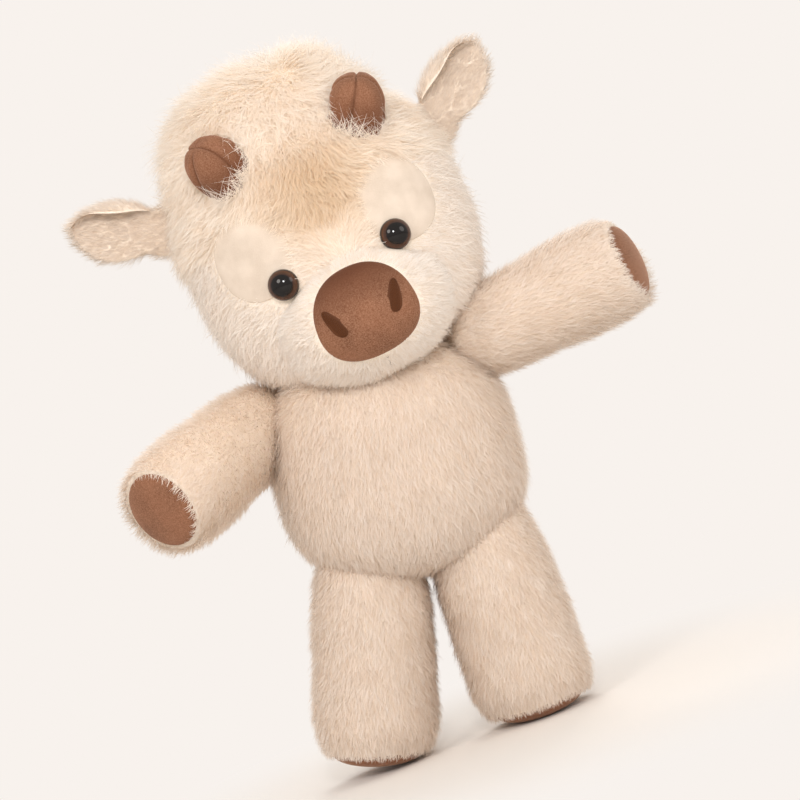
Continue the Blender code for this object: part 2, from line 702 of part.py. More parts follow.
def ear_layer(side_sign, back):
    """Half of an ear's thickness: a flat round root, then a cupped leaf that ends in a point."""
    mesh = bmesh.new()
    root = EAR_ROOT_WIDTH / 2
    along_steps = 12
    across_steps = 8
    faces = []
    for surface in ("seam", "outside"):
        grid = []
        for i in range(along_steps + 1):
            share = i / along_steps
            x = -root + (EAR_LENGTH + root) * (1 - math.cos(math.pi * share)) / 2
            half = ear_half_width(x)
            row = []
            for j in range(across_steps + 1):
                t = -1 + 2 * j / across_steps
                cup = EAR_CUP * t * t * min(max((x - root) / (EAR_LENGTH * EAR_CUP_RAMP_SHARE), 0), 1)
                thick = EAR_THICKNESS / 2 * math.sqrt(1 - EAR_EDGE_THIN_SHARE * t * t) * ear_fullness(x)
                rise = SEAT_GAP / 2 if surface == "seam" else SEAT_GAP / 2 + thick
                y = -cup + (rise if back else -rise)
                row.append(mesh.verts.new((side_sign * x, y, half * t)))
            grid.append(row)
        faces.append(grid)
    sheet(mesh, faces[0], faces[1])
    return mesh


def ear_half_width(x):
    """Half the ear's width at a distance along it: round at the root, widest near the middle, then a point."""
    root = EAR_ROOT_WIDTH / 2
    if x <= 0:
        return max(math.sqrt(max(root ** 2 - x ** 2, 0)), SKIN_WALL / 2)
    share = x / EAR_LENGTH
    swell = max(share - EAR_STRAIGHT_SHARE, 0) / (EAR_WIDEST_SHARE - EAR_STRAIGHT_SHARE)
    if share <= EAR_WIDEST_SHARE:
        return root + (EAR_WIDTH / 2 - root) * math.sin(math.pi * swell / 2)
    taper = (share - EAR_WIDEST_SHARE) / (1 - EAR_WIDEST_SHARE)
    return max(EAR_WIDTH / 2 * (1 - taper ** 2) ** EAR_TIP_POWER, SKIN_WALL / 2)


def ear_fullness(x):
    share = max(x, 0) / EAR_LENGTH
    return 1 - EAR_TIP_THIN_SHARE * share ** 2


def sheet(mesh, first, second):
    """Close two matching grids of vertices into one thin solid."""
    rows, columns = len(first), len(first[0])
    for grid in (first, second):
        for i in range(rows - 1):
            for j in range(columns - 1):
                mesh.faces.new((grid[i][j], grid[i + 1][j], grid[i + 1][j + 1], grid[i][j + 1]))
    for i in range(rows - 1):
        for j in (0, columns - 1):
            mesh.faces.new((first[i][j], first[i + 1][j], second[i + 1][j], second[i][j]))
    for j in range(columns - 1):
        for i in (0, rows - 1):
            mesh.faces.new((first[i][j], first[i][j + 1], second[i][j + 1], second[i][j]))


def build_ears(head, head_pieces, fur, lining):
    root = EAR_ROOT_WIDTH / 2
    for side, sign, lift in (("right", -1, RIGHT_EAR_LIFT), ("left", 1, LEFT_EAR_LIFT)):
        rise = EAR_RISE - sign * EAR_SEWN_UNEVEN
        place = Matrix.Translation((sign * EAR_SPREAD, 0, rise)) @ Matrix.Rotation(-sign * lift, 4, "Y")
        axes = empty("ear_axes_" + side, head, place)
        piece("ear_back_" + side, ear_layer(sign, True), axes, Matrix(), fur)
        piece("ear_lining_" + side, ear_layer(sign, False), axes, Matrix(), lining)
        depth = EAR_THICKNESS / 2 + SEAT_GAP + JOINT_GAP
        slot = cutter("ear_slot_" + side, rod(root + JOINT_GAP, -depth, depth, BALL_AROUND), axes,
                      Matrix.Rotation(math.pi / 2, 4, "X"))
        for thing in head_pieces:
            cut(thing, slot)


# Tail


def build_tail(torso, form, torso_pieces, fur, long_fur):
    back = -form.front(0, TAIL_HEIGHT_IN_TORSO).y
    axes = empty("tail_axes", torso,
                 Matrix.Translation((0, back + TAIL_STAND_OFF, TAIL_HEIGHT_IN_TORSO))
                 @ Matrix.Rotation(-TORSO_LEAN, 4, "Y") @ Matrix.Rotation(math.pi, 4, "X"))
    profile = [(0, -TAIL_ROOT_RADIUS)]
    steps = 4
    for i in range(1, steps + 1):
        angle = math.pi / 2 * i / steps
        profile.append((TAIL_ROOT_RADIUS * math.sin(angle), -TAIL_ROOT_RADIUS * math.cos(angle)))
    profile += [(TAIL_RADIUS, TAIL_ROOT_RADIUS), (TAIL_RADIUS, TAIL_LENGTH), (0, TAIL_LENGTH)]
    piece("tail", turned(profile, SMALL_AROUND), axes, Matrix(), fur)
    tuft = [(0, 0)]
    shares = ((0.55, 0.02), (0.85, 0.18), (1.0, 0.40), (0.85, 0.65), (0.45, 0.88))
    for wide, along in shares:
        tuft.append((TAIL_TUFT_RADIUS * wide, TAIL_TUFT_LENGTH * along))
    tuft.append((0, TAIL_TUFT_LENGTH))
    below = Matrix.Translation((0, 0, TAIL_LENGTH + SEAT_GAP))
    piece("tail_tuft", turned(tuft, SMALL_AROUND), axes, below, long_fur)
    tool = cutter("tail_socket", ball(TAIL_ROOT_RADIUS + JOINT_GAP, SMALL_AROUND), axes, Matrix())
    for thing in torso_pieces:
        cut(thing, tool)


def stand_on_origin(root):
    """Move the finished toy so that the middle of its footprint's box is the origin."""
    bpy.context.view_layer.update()
    depsgraph = bpy.context.evaluated_depsgraph_get()
    lows, highs = [], []
    for thing in bpy.data.objects:
        if thing.type == "EMPTY" or thing.hide_render:
            continue
        shape = thing.evaluated_get(depsgraph)
        corners = [shape.matrix_world @ vertex.co for vertex in shape.to_mesh().vertices]
        lows.append([min(c[k] for c in corners) for k in range(3)])
        highs.append([max(c[k] for c in corners) for k in range(3)])
        shape.to_mesh_clear()
    low = [min(c[k] for c in lows) for k in range(3)]
    high = [max(c[k] for c in highs) for k in range(3)]
    root.location = (-(low[0] + high[0]) / 2, -(low[1] + high[1]) / 2, -low[2])
    bpy.context.view_layer.update()


def main():
    clear_scene()
    fur = plush("fur_fabric", "EBD9C3", 0.9)
    long_fur = plush("long_fur_fabric", "F3E2C8", 0.9)
    smooth_pile = plush("smooth_pile", "EFDCC4", 0.85)
    fibre = plush("fibre_stuffing", "F4F1EC", 0.95)
    velour = plush("brown_velour", "9B6A50", 0.8)
    embroidery = plush("embroidery_thread", "5A2E18", 0.7)
    thread = plush("sewing_thread", "D9C7AE", 0.7)
    eye_plastic = plush("eye_plastic", "1D120D", 0.08)
    washer_plastic = plush("washer_plastic", "EDEDE8", 0.4)
    root = empty("toy_axes", None, Matrix())
    torso, form, skin, core = build_torso(root, fur, fibre, thread)
    build_arms(torso, (skin, core), fur, fibre, velour)
    build_legs(root, (skin, core), fur, fibre, velour)
    build_tail(torso, form, (skin, core), fur, long_fur)
    neck, head, head_form, head_skin, head_core = build_head(root, form, fur, fibre)
    muzzle, muzzle_form, muzzle_skin, muzzle_core, face = build_muzzle(neck, head, head_form, fur, fibre)
    build_nose(muzzle, muzzle_form, velour, embroidery)
    build_eyes(head, head_form, (head_skin, head_core), (muzzle_skin, muzzle_core),
               smooth_pile, eye_plastic, washer_plastic)
    horn_tools = build_horns(head, head_form, face, velour, fibre)
    build_hair(head, face, horn_tools, long_fur)
    build_ears(head, (head_skin, head_core), fur, smooth_pile)
    stand_on_origin(root)


main()
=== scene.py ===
# %% [markdown]
# # A plush cow in long faux fur
# This lesson dresses a plain CAD model of a stuffed toy. The CAD gives every piece its place and size. Here each
# stuffed form gets a fabric skin and a coat of separate strands, and the velour, embroidery and eyes get their finish.

# %% Load the frame
import math
import bmesh
import bpy
import numpy as np
from mathutils import Matrix, Vector, noise


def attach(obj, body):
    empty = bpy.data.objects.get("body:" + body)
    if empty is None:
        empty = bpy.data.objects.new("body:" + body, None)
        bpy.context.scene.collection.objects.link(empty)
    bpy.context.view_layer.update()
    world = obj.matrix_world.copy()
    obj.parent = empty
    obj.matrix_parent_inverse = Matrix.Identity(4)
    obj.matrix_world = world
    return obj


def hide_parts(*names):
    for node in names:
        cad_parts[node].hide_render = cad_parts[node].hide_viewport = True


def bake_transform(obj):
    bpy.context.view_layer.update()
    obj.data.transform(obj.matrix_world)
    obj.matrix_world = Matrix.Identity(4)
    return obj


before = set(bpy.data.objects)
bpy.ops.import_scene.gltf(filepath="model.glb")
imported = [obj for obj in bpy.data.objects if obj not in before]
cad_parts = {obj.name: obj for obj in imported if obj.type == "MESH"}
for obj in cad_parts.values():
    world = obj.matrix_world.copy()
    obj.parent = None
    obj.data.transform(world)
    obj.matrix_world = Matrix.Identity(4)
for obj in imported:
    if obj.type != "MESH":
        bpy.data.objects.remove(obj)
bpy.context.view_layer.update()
noise.seed_set(4)  # without a seed, Blender's noise directions start from the clock, and no two runs are the same

# %% [markdown]
# ## Places and sizes
# The toy was sewn a little crooked, as soft toys are: the torso leans to one side and the head to the other. Each
# form's place is a matrix in metres, built from the same sizes as the CAD, so nothing has to be fitted by eye.

# %% Axes of the main forms
MM = 0.001
SIDES = (("right", -1), ("left", 1))


def move(x, y, z):
    """A move by millimetres."""
    return Matrix.Translation((x * MM, y * MM, z * MM))


def turn(degrees, axis):
    return Matrix.Rotation(math.radians(degrees), 4, axis)


def in_axes(place, points):
    """World points, as rows of three numbers, in a place's own axes."""
    inverse = np.array(place.inverted())
    return points @ inverse[:3, :3].T + inverse[:3, 3]


TOY = move(-12.98, 12.35, 0)
TORSO = TOY @ move(0, 0, 200) @ turn(4, "Y")
NECK = move(3.99, 12.35, 271)
HEAD = NECK @ turn(0.5, "Z") @ turn(-6.5, "Y") @ move(0, 0, 94)
MUZZLE = HEAD @ move(0, -56, -65)
HAIR = HEAD @ move(0, 0, 40)


class Form:
    """A stuffed shape: half sizes from its centre, and how full its corners are (2 is an ellipse)."""

    def __init__(self, place, wide, deep, up, down, round_power, up_power):
        self.place, self.wide, self.deep, self.up, self.down = place, wide, deep, up, down
        self.round_power, self.up_power = round_power, up_power

    def grown(self, by):
        return Form(self.place, self.wide + by, self.deep + by, self.up + by, self.down + by,
                    self.round_power, self.up_power)

    def local(self, points):
        return in_axes(self.place, points)

    def level(self, points):
        """Below 1 inside the form, 1 on its surface, more outside, for an array of world points."""
        p = self.local(points)
        height = np.where(p[:, 2] >= 0, self.up, self.down)
        flat = (np.abs(p[:, 0] / self.wide) ** self.round_power
                + np.abs(p[:, 1] / self.deep) ** self.round_power) ** (self.up_power / self.round_power)
        return flat + np.abs(p[:, 2] / height) ** self.up_power

    def front(self, x, z):
        """The front point at this width and height, in the form's own axes."""
        height = self.up if z >= 0 else self.down
        ring = max(1 - abs(z / height) ** self.up_power, 0) ** (1 / self.up_power)
        left = max(ring ** self.round_power - abs(x / self.wide) ** self.round_power, 0)
        return Vector((x, -self.deep * left ** (1 / self.round_power), z))


torso_form = Form(TORSO, 83 * MM, 70 * MM, 79 * MM, 79 * MM, 2.2, 2.7)
head_form = Form(HEAD, 96 * MM, 82 * MM, 84 * MM, 104 * MM, 2.3, 2.6)
muzzle_form = Form(MUZZLE, 56 * MM, 53 * MM, 41 * MM, 41 * MM, 2.2, 2.2)
hair_form = Form(HAIR, 81 * MM, 76 * MM, 81 * MM, 81 * MM, 2.2, 2.5)
print("head centre at", [round(v / MM, 1) for v in HEAD.translation], "mm")

# %% [markdown]
# ## Colours, nodes and objects
# Colours are written as they look on the screen, in sRGB hex. Blender mixes light in linear values, so one function
# turns them. Another adds a shader or geometry node with its settings and links in one line.

# %% Helpers for colours, nodes and objects
COLOURS = {"data_type": "RGBA"}


def linear(colour):
    """An sRGB hex colour as linear red, green, blue and alpha."""
    out = []
    for i in (0, 2, 4):
        c = int(colour[i:i + 2], 16) / 255
        out.append(c / 12.92 if c <= 0.04045 else ((c + 0.055) / 1.055) ** 2.4)
    return (*out, 1.0)


def plug(tree, node, **links):
    """Set or link a node's inputs. A link's name is an input's name or, after an underscore, its number."""
    for key, value in links.items():
        numbered = key[0] == "_" and key[1:].isdigit()
        socket = node.inputs[int(key[1:]) if numbered else key.replace("_", " ")]
        if isinstance(value, bpy.types.Node):
            value = value.outputs[0]
        if isinstance(value, bpy.types.NodeSocket):
            tree.links.new(value, socket)
        else:
            socket.default_value = value
    return node


def add(tree, kind, settings=None, **links):
    """Add a node with its settings and links."""
    node = tree.nodes.new(kind)
    for key, value in (settings or {}).items():
        setattr(node, key, value)
    return plug(tree, node, **links)


def new_material(name):
    """A material with an empty Principled shader, its tree and that shader."""
    material = bpy.data.materials.new(name)
    material.use_nodes = True
    print("material:", name)
    return material, material.node_tree, material.node_tree.nodes["Principled BSDF"]


def new_object(name, data):
    """An object at the origin, linked to the scene, from a mesh being built or from finished data."""
    if isinstance(data, bmesh.types.BMesh):
        mesh, data = data, bpy.data.meshes.new(name)
        mesh.to_mesh(data)
        mesh.free()
    thing = bpy.data.objects.new(name, data)
    bpy.context.scene.collection.objects.link(thing)
    return thing


# %% [markdown]
# ## Faux fur
# Faux fur is acrylic fibre knitted into a backing. Each fibre is a little darker at its root, where less light comes,
# and pale at its tip. The strands carry values for that: `along` runs from root to tip, `tone` differs from tuft to
# tuft, and a third share marks where the real fur is warmer, and marks the ears' cups, where it is painted shade. The
# backing shows only in the gaps, so its colour is the painted shade between the fibres.

# %% Fur materials


def fur_material(name, root, tip, shade, warm_and_shade="E3CBAB", thin=0.3):
    """Acrylic fibre: matte, and thin enough for light to pass through it, most of all from behind."""
    material, tree, shader = new_material(name)
    along, tone, middle = (add(tree, "ShaderNodeAttribute", {"attribute_name": label}).outputs["Fac"]
                           for label in ("along", "tone", "warm_and_shade"))
    fibre = add(tree, "ShaderNodeMix", COLOURS, _0=along, _6=linear(root), _7=linear(tip)).outputs[2]
    varied = add(tree, "ShaderNodeMix", COLOURS, _0=tone, _6=fibre, _7=linear(shade)).outputs[2]
    # The third colour is the brow's real warmer tone, and painted shade in the ears' cups.
    warmed_and_shaded = add(tree, "ShaderNodeMix", COLOURS, _0=middle, _6=varied, _7=linear(warm_and_shade)).outputs[2]
    plug(tree, shader, Base_Color=warmed_and_shaded, Roughness=0.62, Specular_IOR_Level=0.25)
    through = add(tree, "ShaderNodeBsdfTranslucent", Color=warmed_and_shaded)
    behind = add(tree, "ShaderNodeNewGeometry").outputs["Backfacing"]
    share = add(tree, "ShaderNodeMapRange", _0=behind, _3=thin, _4=0.9)
    both = add(tree, "ShaderNodeMixShader", _0=share, _1=shader, _2=through)
    plug(tree, tree.nodes["Material Output"], Surface=both)
    return material


def backing_material(name, dark, light):
    """The knitted backing with the feet of its fibres: a soft mottle of 1.5 mm tufts."""
    material, tree, shader = new_material(name)
    place = add(tree, "ShaderNodeTexCoord").outputs["Object"]
    tufts = add(tree, "ShaderNodeTexNoise", Vector=place, Scale=1 / (1.5 * MM), Detail=3.0)
    mottle = add(tree, "ShaderNodeMix", COLOURS, _0=tufts, _6=linear(dark), _7=linear(light)).outputs[2]
    bump = add(tree, "ShaderNodeBump", Strength=0.6, Distance=0.8 * MM, Height=tufts)
    plug(tree, shader, Base_Color=mottle, Normal=bump, Roughness=0.95, Specular_IOR_Level=0.1)
    return material


body_fur = fur_material("acrylic_fur_cream", "ECDED0", "FAF4EE", "E5D4C3")
# Painted light: the head's fur is the body's fabric made lighter, against the shade that its longer strands cast on
# each other.
face_fur_painted_light = fur_material("acrylic_fur_cream_painted_lighter", "F7EEE5", "FFFDFA", "F3E7DA")
# The ears' fourth colour, D6C5B4, is painted shade for their cups.
ear_fur = fur_material("acrylic_fur_cream_short", "F0E5DA", "FAF5EF", "E8DBCD", "D6C5B4", thin=0.45)
crown_fur = fur_material("acrylic_fur_warm_white", "F5EADC", "FFFCF7", "F1E1CF")
backing = backing_material("knitted_backing", "EADCCB", "F4EADD")

# %% [markdown]
# ## Brown velour
# Velour is a short, dense pile, about 1 mm long. It looks darker where the pile leans towards the eye and lighter where
# it leans away, so it is never one even brown: it has slow patches where it was stroked, and a fine grain. The pieces
# store a share of painted shade, at the nose's top and the horns' roots, and where a seam draws the pile in (`seam`).

# %% Velour material


def velour_material(name, colour, light, dark):
    """Stroked patches of 22 mm and a grain of 0.9 mm, drawn coarser than the real pile so that it shows."""
    material, tree, shader = new_material(name)
    place = add(tree, "ShaderNodeTexCoord").outputs["Object"]
    stroked = add(tree, "ShaderNodeTexNoise", Vector=place, Scale=1 / (22 * MM), Detail=2.0, Roughness=0.5)
    grain = add(tree, "ShaderNodeTexNoise", Vector=place, Scale=1 / (0.9 * MM), Detail=4.0, Roughness=0.7)
    patches = add(tree, "ShaderNodeMapRange", _0=stroked, _1=0.25, _2=0.60)
    brown = add(tree, "ShaderNodeMix", COLOURS, _0=patches, _6=linear(dark), _7=linear(colour)).outputs[2]
    specks = add(tree, "ShaderNodeMapRange", _0=grain, _1=0.38, _2=0.72, _4=0.85)
    brown = add(tree, "ShaderNodeMix", COLOURS, _0=specks, _6=brown, _7=linear(light)).outputs[2]
    # Painted shade from the pieces' stored share, then the darker colour of the seams.
    for label, deep in (("painted_shade", "57301D"), ("seam", "55321F")):
        share = add(tree, "ShaderNodeAttribute", {"attribute_name": label}).outputs["Fac"]
        brown = add(tree, "ShaderNodeMix", COLOURS, _0=share, _6=brown, _7=linear(deep)).outputs[2]
    bump = add(tree, "ShaderNodeBump", Strength=0.5, Distance=0.35 * MM, Height=grain)
    plug(tree, shader, Base_Color=brown, Normal=bump, Roughness=0.85, Specular_IOR_Level=0.2, Sheen_Weight=0.5,
         Sheen_Roughness=0.35, Sheen_Tint=linear("E0BCA4"))
    return material


velour = velour_material("polyester_velour_brown", "7C5039", "A57B61", "603A27")

# %% [markdown]
# ## One strand
# A strand is a thin ribbon that narrows to a point and bends over. Each one has only three faces, because the coat
# holds hundreds of thousands of them. Three bends are enough to hide that they repeat. Each is one unit long: the
# scatter gives the real length and width.

# %% Strand shapes
STEP_SHARES = (0.0, 0.38, 0.74, 1.0)
WIDTH_SHARES = (0.9, 1.0, 0.62, 0.0)
BENDS = ((34, 80, 0.25), (42, 92, -0.3), (26, 70, 0.05))


def strand(name, first_lean, last_lean, sway):
    """A ribbon that leaves the skin near its normal (+Z) and bends towards the comb direction (+X)."""
    mesh = bmesh.new()
    along_layer = mesh.verts.layers.float.new("along")
    spot, rows = Vector((0, 0, 0)), []
    for k, (along, width) in enumerate(zip(STEP_SHARES, WIDTH_SHARES)):
        if k:
            before = STEP_SHARES[k - 1]
            lean = math.radians(first_lean + (last_lean - first_lean) * (along + before) / 2)
            spot = spot + Vector((math.sin(lean), sway * (along - 0.4), math.cos(lean))) * (along - before)
        row = [mesh.verts.new(spot + Vector((0, side * width, 0))) for side in ((-0.5, 0.5) if width else (0,))]
        for vertex in row:
            vertex[along_layer] = along
        rows.append(row)
    for low, high in zip(rows, rows[1:]):
        mesh.faces.new((*low, *reversed(high)))
    mesh.normal_update()
    if sum((face.normal.z for face in mesh.faces)) < 0:
        bmesh.ops.reverse_faces(mesh, faces=mesh.faces[:])
    return new_object(name, mesh)


strands = [strand("strand_%d" % k, *bend) for k, bend in enumerate(BENDS)]
print("faces in one strand:", len(strands[0].data.polygons))

# %% [markdown]
# ## Scattering the coat
# One Geometry Nodes tree grows every coat. It scatters points over a skin, stands a strand on each along the skin's
# normal, turns it to the comb direction stored on the skin, and draws neighbouring tips together into tufts, as static
# and handling do to real fur. The skin's own `trim` says how long the pile is there: none under an eye patch, short
# round it. At the end the instances are made real, because an exported model keeps only real faces.

# %% The coat tree
PLUS, TIMES, SCALED = {"operation": "ADD"}, {"operation": "MULTIPLY"}, {"operation": "SCALE"}
ANY_WAY = ((-1, -1, -1), (1, 1, 1))
SHORTEST_PILE = 0.05


def new_tree(name, inputs, output):
    """An empty Geometry Nodes tree with named inputs, and the sockets that give them."""
    tree = bpy.data.node_groups.new(name, "GeometryNodeTree")
    for label, kind in inputs:
        tree.interface.new_socket(label, in_out="INPUT", socket_type="NodeSocket" + kind)
    tree.interface.new_socket(output, in_out="OUTPUT", socket_type="NodeSocketGeometry")
    return tree, tree.nodes.new("NodeGroupInput").outputs


def coat_tree():
    tree, given = new_tree("coat", (
        ("Skin", "Geometry"), ("Strands per m2", "Float"), ("Seed", "Int"), ("Length", "Float"), ("Width", "Float"),
        ("Spread", "Float"), ("Tuft size", "Float"), ("Tuft pull", "Float"), ("Lift", "Float"),
        ("Material", "Material")), "Coat")
    draw = {}
    for label, offset, (low, high) in (("aside", 11, ANY_WAY), ("lean", 12, ANY_WAY), ("roll", 13, (-0.75, 0.75)),
                                       ("length", 14, (0.62, 1.12)), ("width", 15, (0.6, 1.25)),
                                       ("tone", 16, (0.0, 0.5)), ("shape", 17, (0, 1))):
        kind, first = ("FLOAT_VECTOR", 0) if isinstance(low, tuple) else ("FLOAT", 2)
        seed = add(tree, "ShaderNodeMath", PLUS, _0=given["Seed"], _1=offset)
        node = add(tree, "FunctionNodeRandomValue", {"data_type": kind}, Seed=seed,
                   **{"_%d" % first: low, "_%d" % (first + 1): high})
        draw[label] = node.outputs[first // 2]
    trim = add(tree, "GeometryNodeInputNamedAttribute", {"data_type": "FLOAT"}, Name="trim")
    comb = add(tree, "GeometryNodeInputNamedAttribute", {"data_type": "FLOAT_VECTOR"}, Name="comb")

    # Points for the strands, and fewer points for the middles of the tufts
    grown = add(tree, "ShaderNodeMath", {"operation": "GREATER_THAN"}, _0=trim, _1=SHORTEST_PILE)
    density = add(tree, "ShaderNodeMath", TIMES, _0=given["Strands per m2"], _1=grown)
    points = add(tree, "GeometryNodeDistributePointsOnFaces", Mesh=given["Skin"], Density=density, Seed=given["Seed"])
    per_tuft = add(tree, "ShaderNodeMath", {"operation": "POWER"}, _0=given["Tuft size"], _1=-2.0)
    tufts = add(tree, "GeometryNodeDistributePointsOnFaces", Mesh=given["Skin"], Density=per_tuft, Seed=given["Seed"])
    here = add(tree, "GeometryNodeInputPosition")
    nearest = add(tree, "GeometryNodeSampleNearest", {"domain": "POINT"}, _0=tufts, _1=here)
    centre = add(tree, "GeometryNodeSampleIndex", {"data_type": "FLOAT_VECTOR", "domain": "POINT"},
                 _0=tufts, _1=here, _2=nearest)
    tuft_tone = add(tree, "FunctionNodeRandomValue", {"data_type": "FLOAT"}, _2=0.0, _3=0.35, _7=nearest)

    # Which way each strand stands and is combed
    inwards = add(tree, "ShaderNodeVectorMath", {"operation": "SUBTRACT"}, _0=centre, _1=here)
    pull = add(tree, "ShaderNodeVectorMath", SCALED, _0=inwards, Scale=given["Tuft pull"])
    aside = add(tree, "ShaderNodeVectorMath", SCALED, _0=draw["aside"], Scale=given["Spread"])
    combed = add(tree, "ShaderNodeVectorMath", PLUS, _0=comb, _1=pull)
    combed = add(tree, "ShaderNodeVectorMath", PLUS, _0=combed, _1=aside)
    raised = add(tree, "ShaderNodeVectorMath", SCALED, _0=points.outputs["Normal"], Scale=given["Lift"])
    drawn = add(tree, "ShaderNodeVectorMath", SCALED, _0=pull, Scale=0.7)
    leaning = add(tree, "ShaderNodeVectorMath", SCALED, _0=draw["lean"], Scale=0.16)
    upright = add(tree, "ShaderNodeVectorMath", PLUS, _0=raised, _1=drawn)
    upright = add(tree, "ShaderNodeVectorMath", PLUS, _0=upright, _1=leaning)
    facing = add(tree, "FunctionNodeAxesToRotation", {"primary_axis": "Z", "secondary_axis": "X"},
                 _0=upright, _1=combed)
    roll = add(tree, "FunctionNodeAxisAngleToRotation", _0=(1.0, 0.0, 0.0), _1=draw["roll"])
    turned = add(tree, "FunctionNodeRotateRotation", {"rotation_space": "LOCAL"}, _0=facing, _1=roll)

    # How long and wide each strand is, and the values that it carries
    length = add(tree, "ShaderNodeMath", TIMES, _0=given["Length"], _1=trim)
    length = add(tree, "ShaderNodeMath", TIMES, _0=length, _1=draw["length"])
    width = add(tree, "ShaderNodeMath", TIMES, _0=given["Width"], _1=draw["width"])
    size = add(tree, "ShaderNodeCombineXYZ", _0=length, _1=width, _2=length)
    tone = add(tree, "ShaderNodeMath", PLUS, _0=tuft_tone.outputs[1], _1=draw["tone"])
    toned = add(tree, "GeometryNodeStoreNamedAttribute", {"data_type": "FLOAT", "domain": "POINT"},
                _0=points, Name="tone", Value=tone)
    lay = add(tree, "ShaderNodeVectorMath", {"operation": "NORMALIZE"}, _0=upright)
    faced = add(tree, "GeometryNodeStoreNamedAttribute", {"data_type": "FLOAT_VECTOR", "domain": "POINT"},
                _0=toned, Name="lay", Value=lay)

    # The strands themselves
    shapes = add(tree, "GeometryNodeGeometryToInstance")
    for thing in strands:
        shape = add(tree, "GeometryNodeObjectInfo", {"transform_space": "ORIGINAL"}, _0=thing)
        plug(tree, shapes, _0=shape.outputs["Geometry"])
    which = add(tree, "ShaderNodeMath", TIMES, _0=draw["shape"], _1=len(strands) - 0.001)
    which = add(tree, "ShaderNodeMath", {"operation": "FLOOR"}, _0=which)
    standing = add(tree, "GeometryNodeInstanceOnPoints", Points=faced, Instance=shapes, Pick_Instance=True,
                   Instance_Index=which, Rotation=turned, Scale=size)
    real = add(tree, "GeometryNodeRealizeInstances", _0=standing)
    painted = add(tree, "GeometryNodeSetMaterial", _0=real, Material=given["Material"])
    add(tree, "NodeGroupOutput", _0=painted)
    return tree


coat = coat_tree()
print("coat tree nodes:", len(coat.nodes))

# %% [markdown]
# ## Skins of the stuffed forms
# Under the fur each form is a padded fabric shell. A ball of points is pushed out to the form's surface, and a slow
# noise makes it as uneven as loose fibre filling is. Each vertex then gets its comb direction and pile length. Points
# that lie inside a neighbouring form grow no fur, as nothing grows inside a seam.

# %% Skin helpers
FILLING_LUMP, FILLING_LUMP_HEIGHT = 26 * MM, 1.6 * MM


def points_of(thing, what="co"):
    """The places ("co") or normals ("normal") of a mesh's vertices, as rows of three numbers."""
    out = np.empty(len(thing.data.vertices) * 3)
    thing.data.vertices.foreach_get(what, out)
    return out.reshape(-1, 3)


def set_points(thing, spots):
    thing.data.vertices.foreach_set("co", spots.astype(np.float32).ravel())


def store(data, name, values):
    """Store a number or a direction for each vertex of a mesh."""
    values = np.array(values, dtype=np.float32)
    kind, field = ("FLOAT_VECTOR", "vector") if values.ndim == 2 else ("FLOAT", "value")
    layer = data.attributes.get(name) or data.attributes.new(name, kind, "POINT")
    layer.data.foreach_set(field, values.ravel())


def unit(vectors):
    return vectors / np.maximum(np.linalg.norm(vectors, axis=-1, keepdims=True), 1e-9)


def axis_of(place, column=2):
    """The world direction of a place's X, Y or Z axis (0, 1 or 2)."""
    return np.array(place.col[column][:3])


def finish_mesh(name, mesh, material):
    """Turn a bmesh into a smooth object at the origin, with its faces outwards."""
    bmesh.ops.recalc_face_normals(mesh, faces=mesh.faces[:])
    thing = new_object(name, mesh)
    thing.data.shade_smooth()
    if material:
        thing.data.materials.append(material)
    return thing


def lumps(spot, size, height):
    """A slow, smooth unevenness in metres, the same on each run."""
    return height * noise.noise(spot / size)


def skin_rows(mesh, rows):
    """Join closed rows of vertices with faces; a row of one vertex is a pole."""
    for low, high in zip(rows, rows[1:]):
        count = max(len(low), len(high))
        for i in range(count):
            j = (i + 1) % count
            corners = [low[i % len(low)], low[j % len(low)], high[j % len(high)], high[i % len(high)]]
            mesh.faces.new(list(dict.fromkeys(corners)))


def stuffed_skin(name, form, material, around=96, rings=64):
    """A padded shell on a form's surface, made uneven by its filling."""
    mesh = bmesh.new()
    rows = []
    for r in range(rings + 1):
        rise = -math.pi / 2 + math.pi * r / rings
        height = form.up if rise >= 0 else form.down
        z = height * math.copysign(abs(math.sin(rise)) ** (2 / form.up_power), rise)
        reach = abs(math.cos(rise)) ** (2 / form.up_power) if 0 < r < rings else 0
        row = []
        for i in range(around if reach else 1):
            angle = 2 * math.pi * i / around
            c, s = math.cos(angle), math.sin(angle)
            x = form.wide * reach * math.copysign(abs(c) ** (2 / form.round_power), c)
            y = form.deep * reach * math.copysign(abs(s) ** (2 / form.round_power), s)
            spot = form.place @ Vector((x, y, z))
            out = (spot - form.place.translation).normalized()
            row.append(mesh.verts.new(spot + out * lumps(spot, FILLING_LUMP, FILLING_LUMP_HEIGHT)))
        rows.append(row)
    skin_rows(mesh, rows)
    return finish_mesh(name, mesh, material)


def comb_skin(thing, comb, trim, warm_and_shade=0.0):
    """Store the comb direction (kept along the skin), the pile length and the share of a third colour on a skin: the
    brow's real warmer tone, and painted shade in the ears' cups.
    """
    normal = points_of(thing, "normal")
    along = comb - normal * np.sum(comb * normal, axis=1, keepdims=True)
    for name, values in (("comb", unit(along)), ("trim", trim), ("warm_and_shade", np.zeros(len(trim)) + warm_and_shade)):
        store(thing.data, name, values)


def inside(form, points, by=0.0):
    return form.grown(by).level(points) < 1


def swirl(points, size, amount):
    """A slow change of direction, so that the pile doesn't lie like combed wire."""
    return np.array([amount * np.array(noise.noise_vector(Vector(p) / size)) for p in points])


def flatten(thing, height=0.0):
    """What the toy stands on is pressed flat against the floor."""
    spots = points_of(thing)
    spots[:, 2] = np.maximum(spots[:, 2], height)
    set_points(thing, spots)


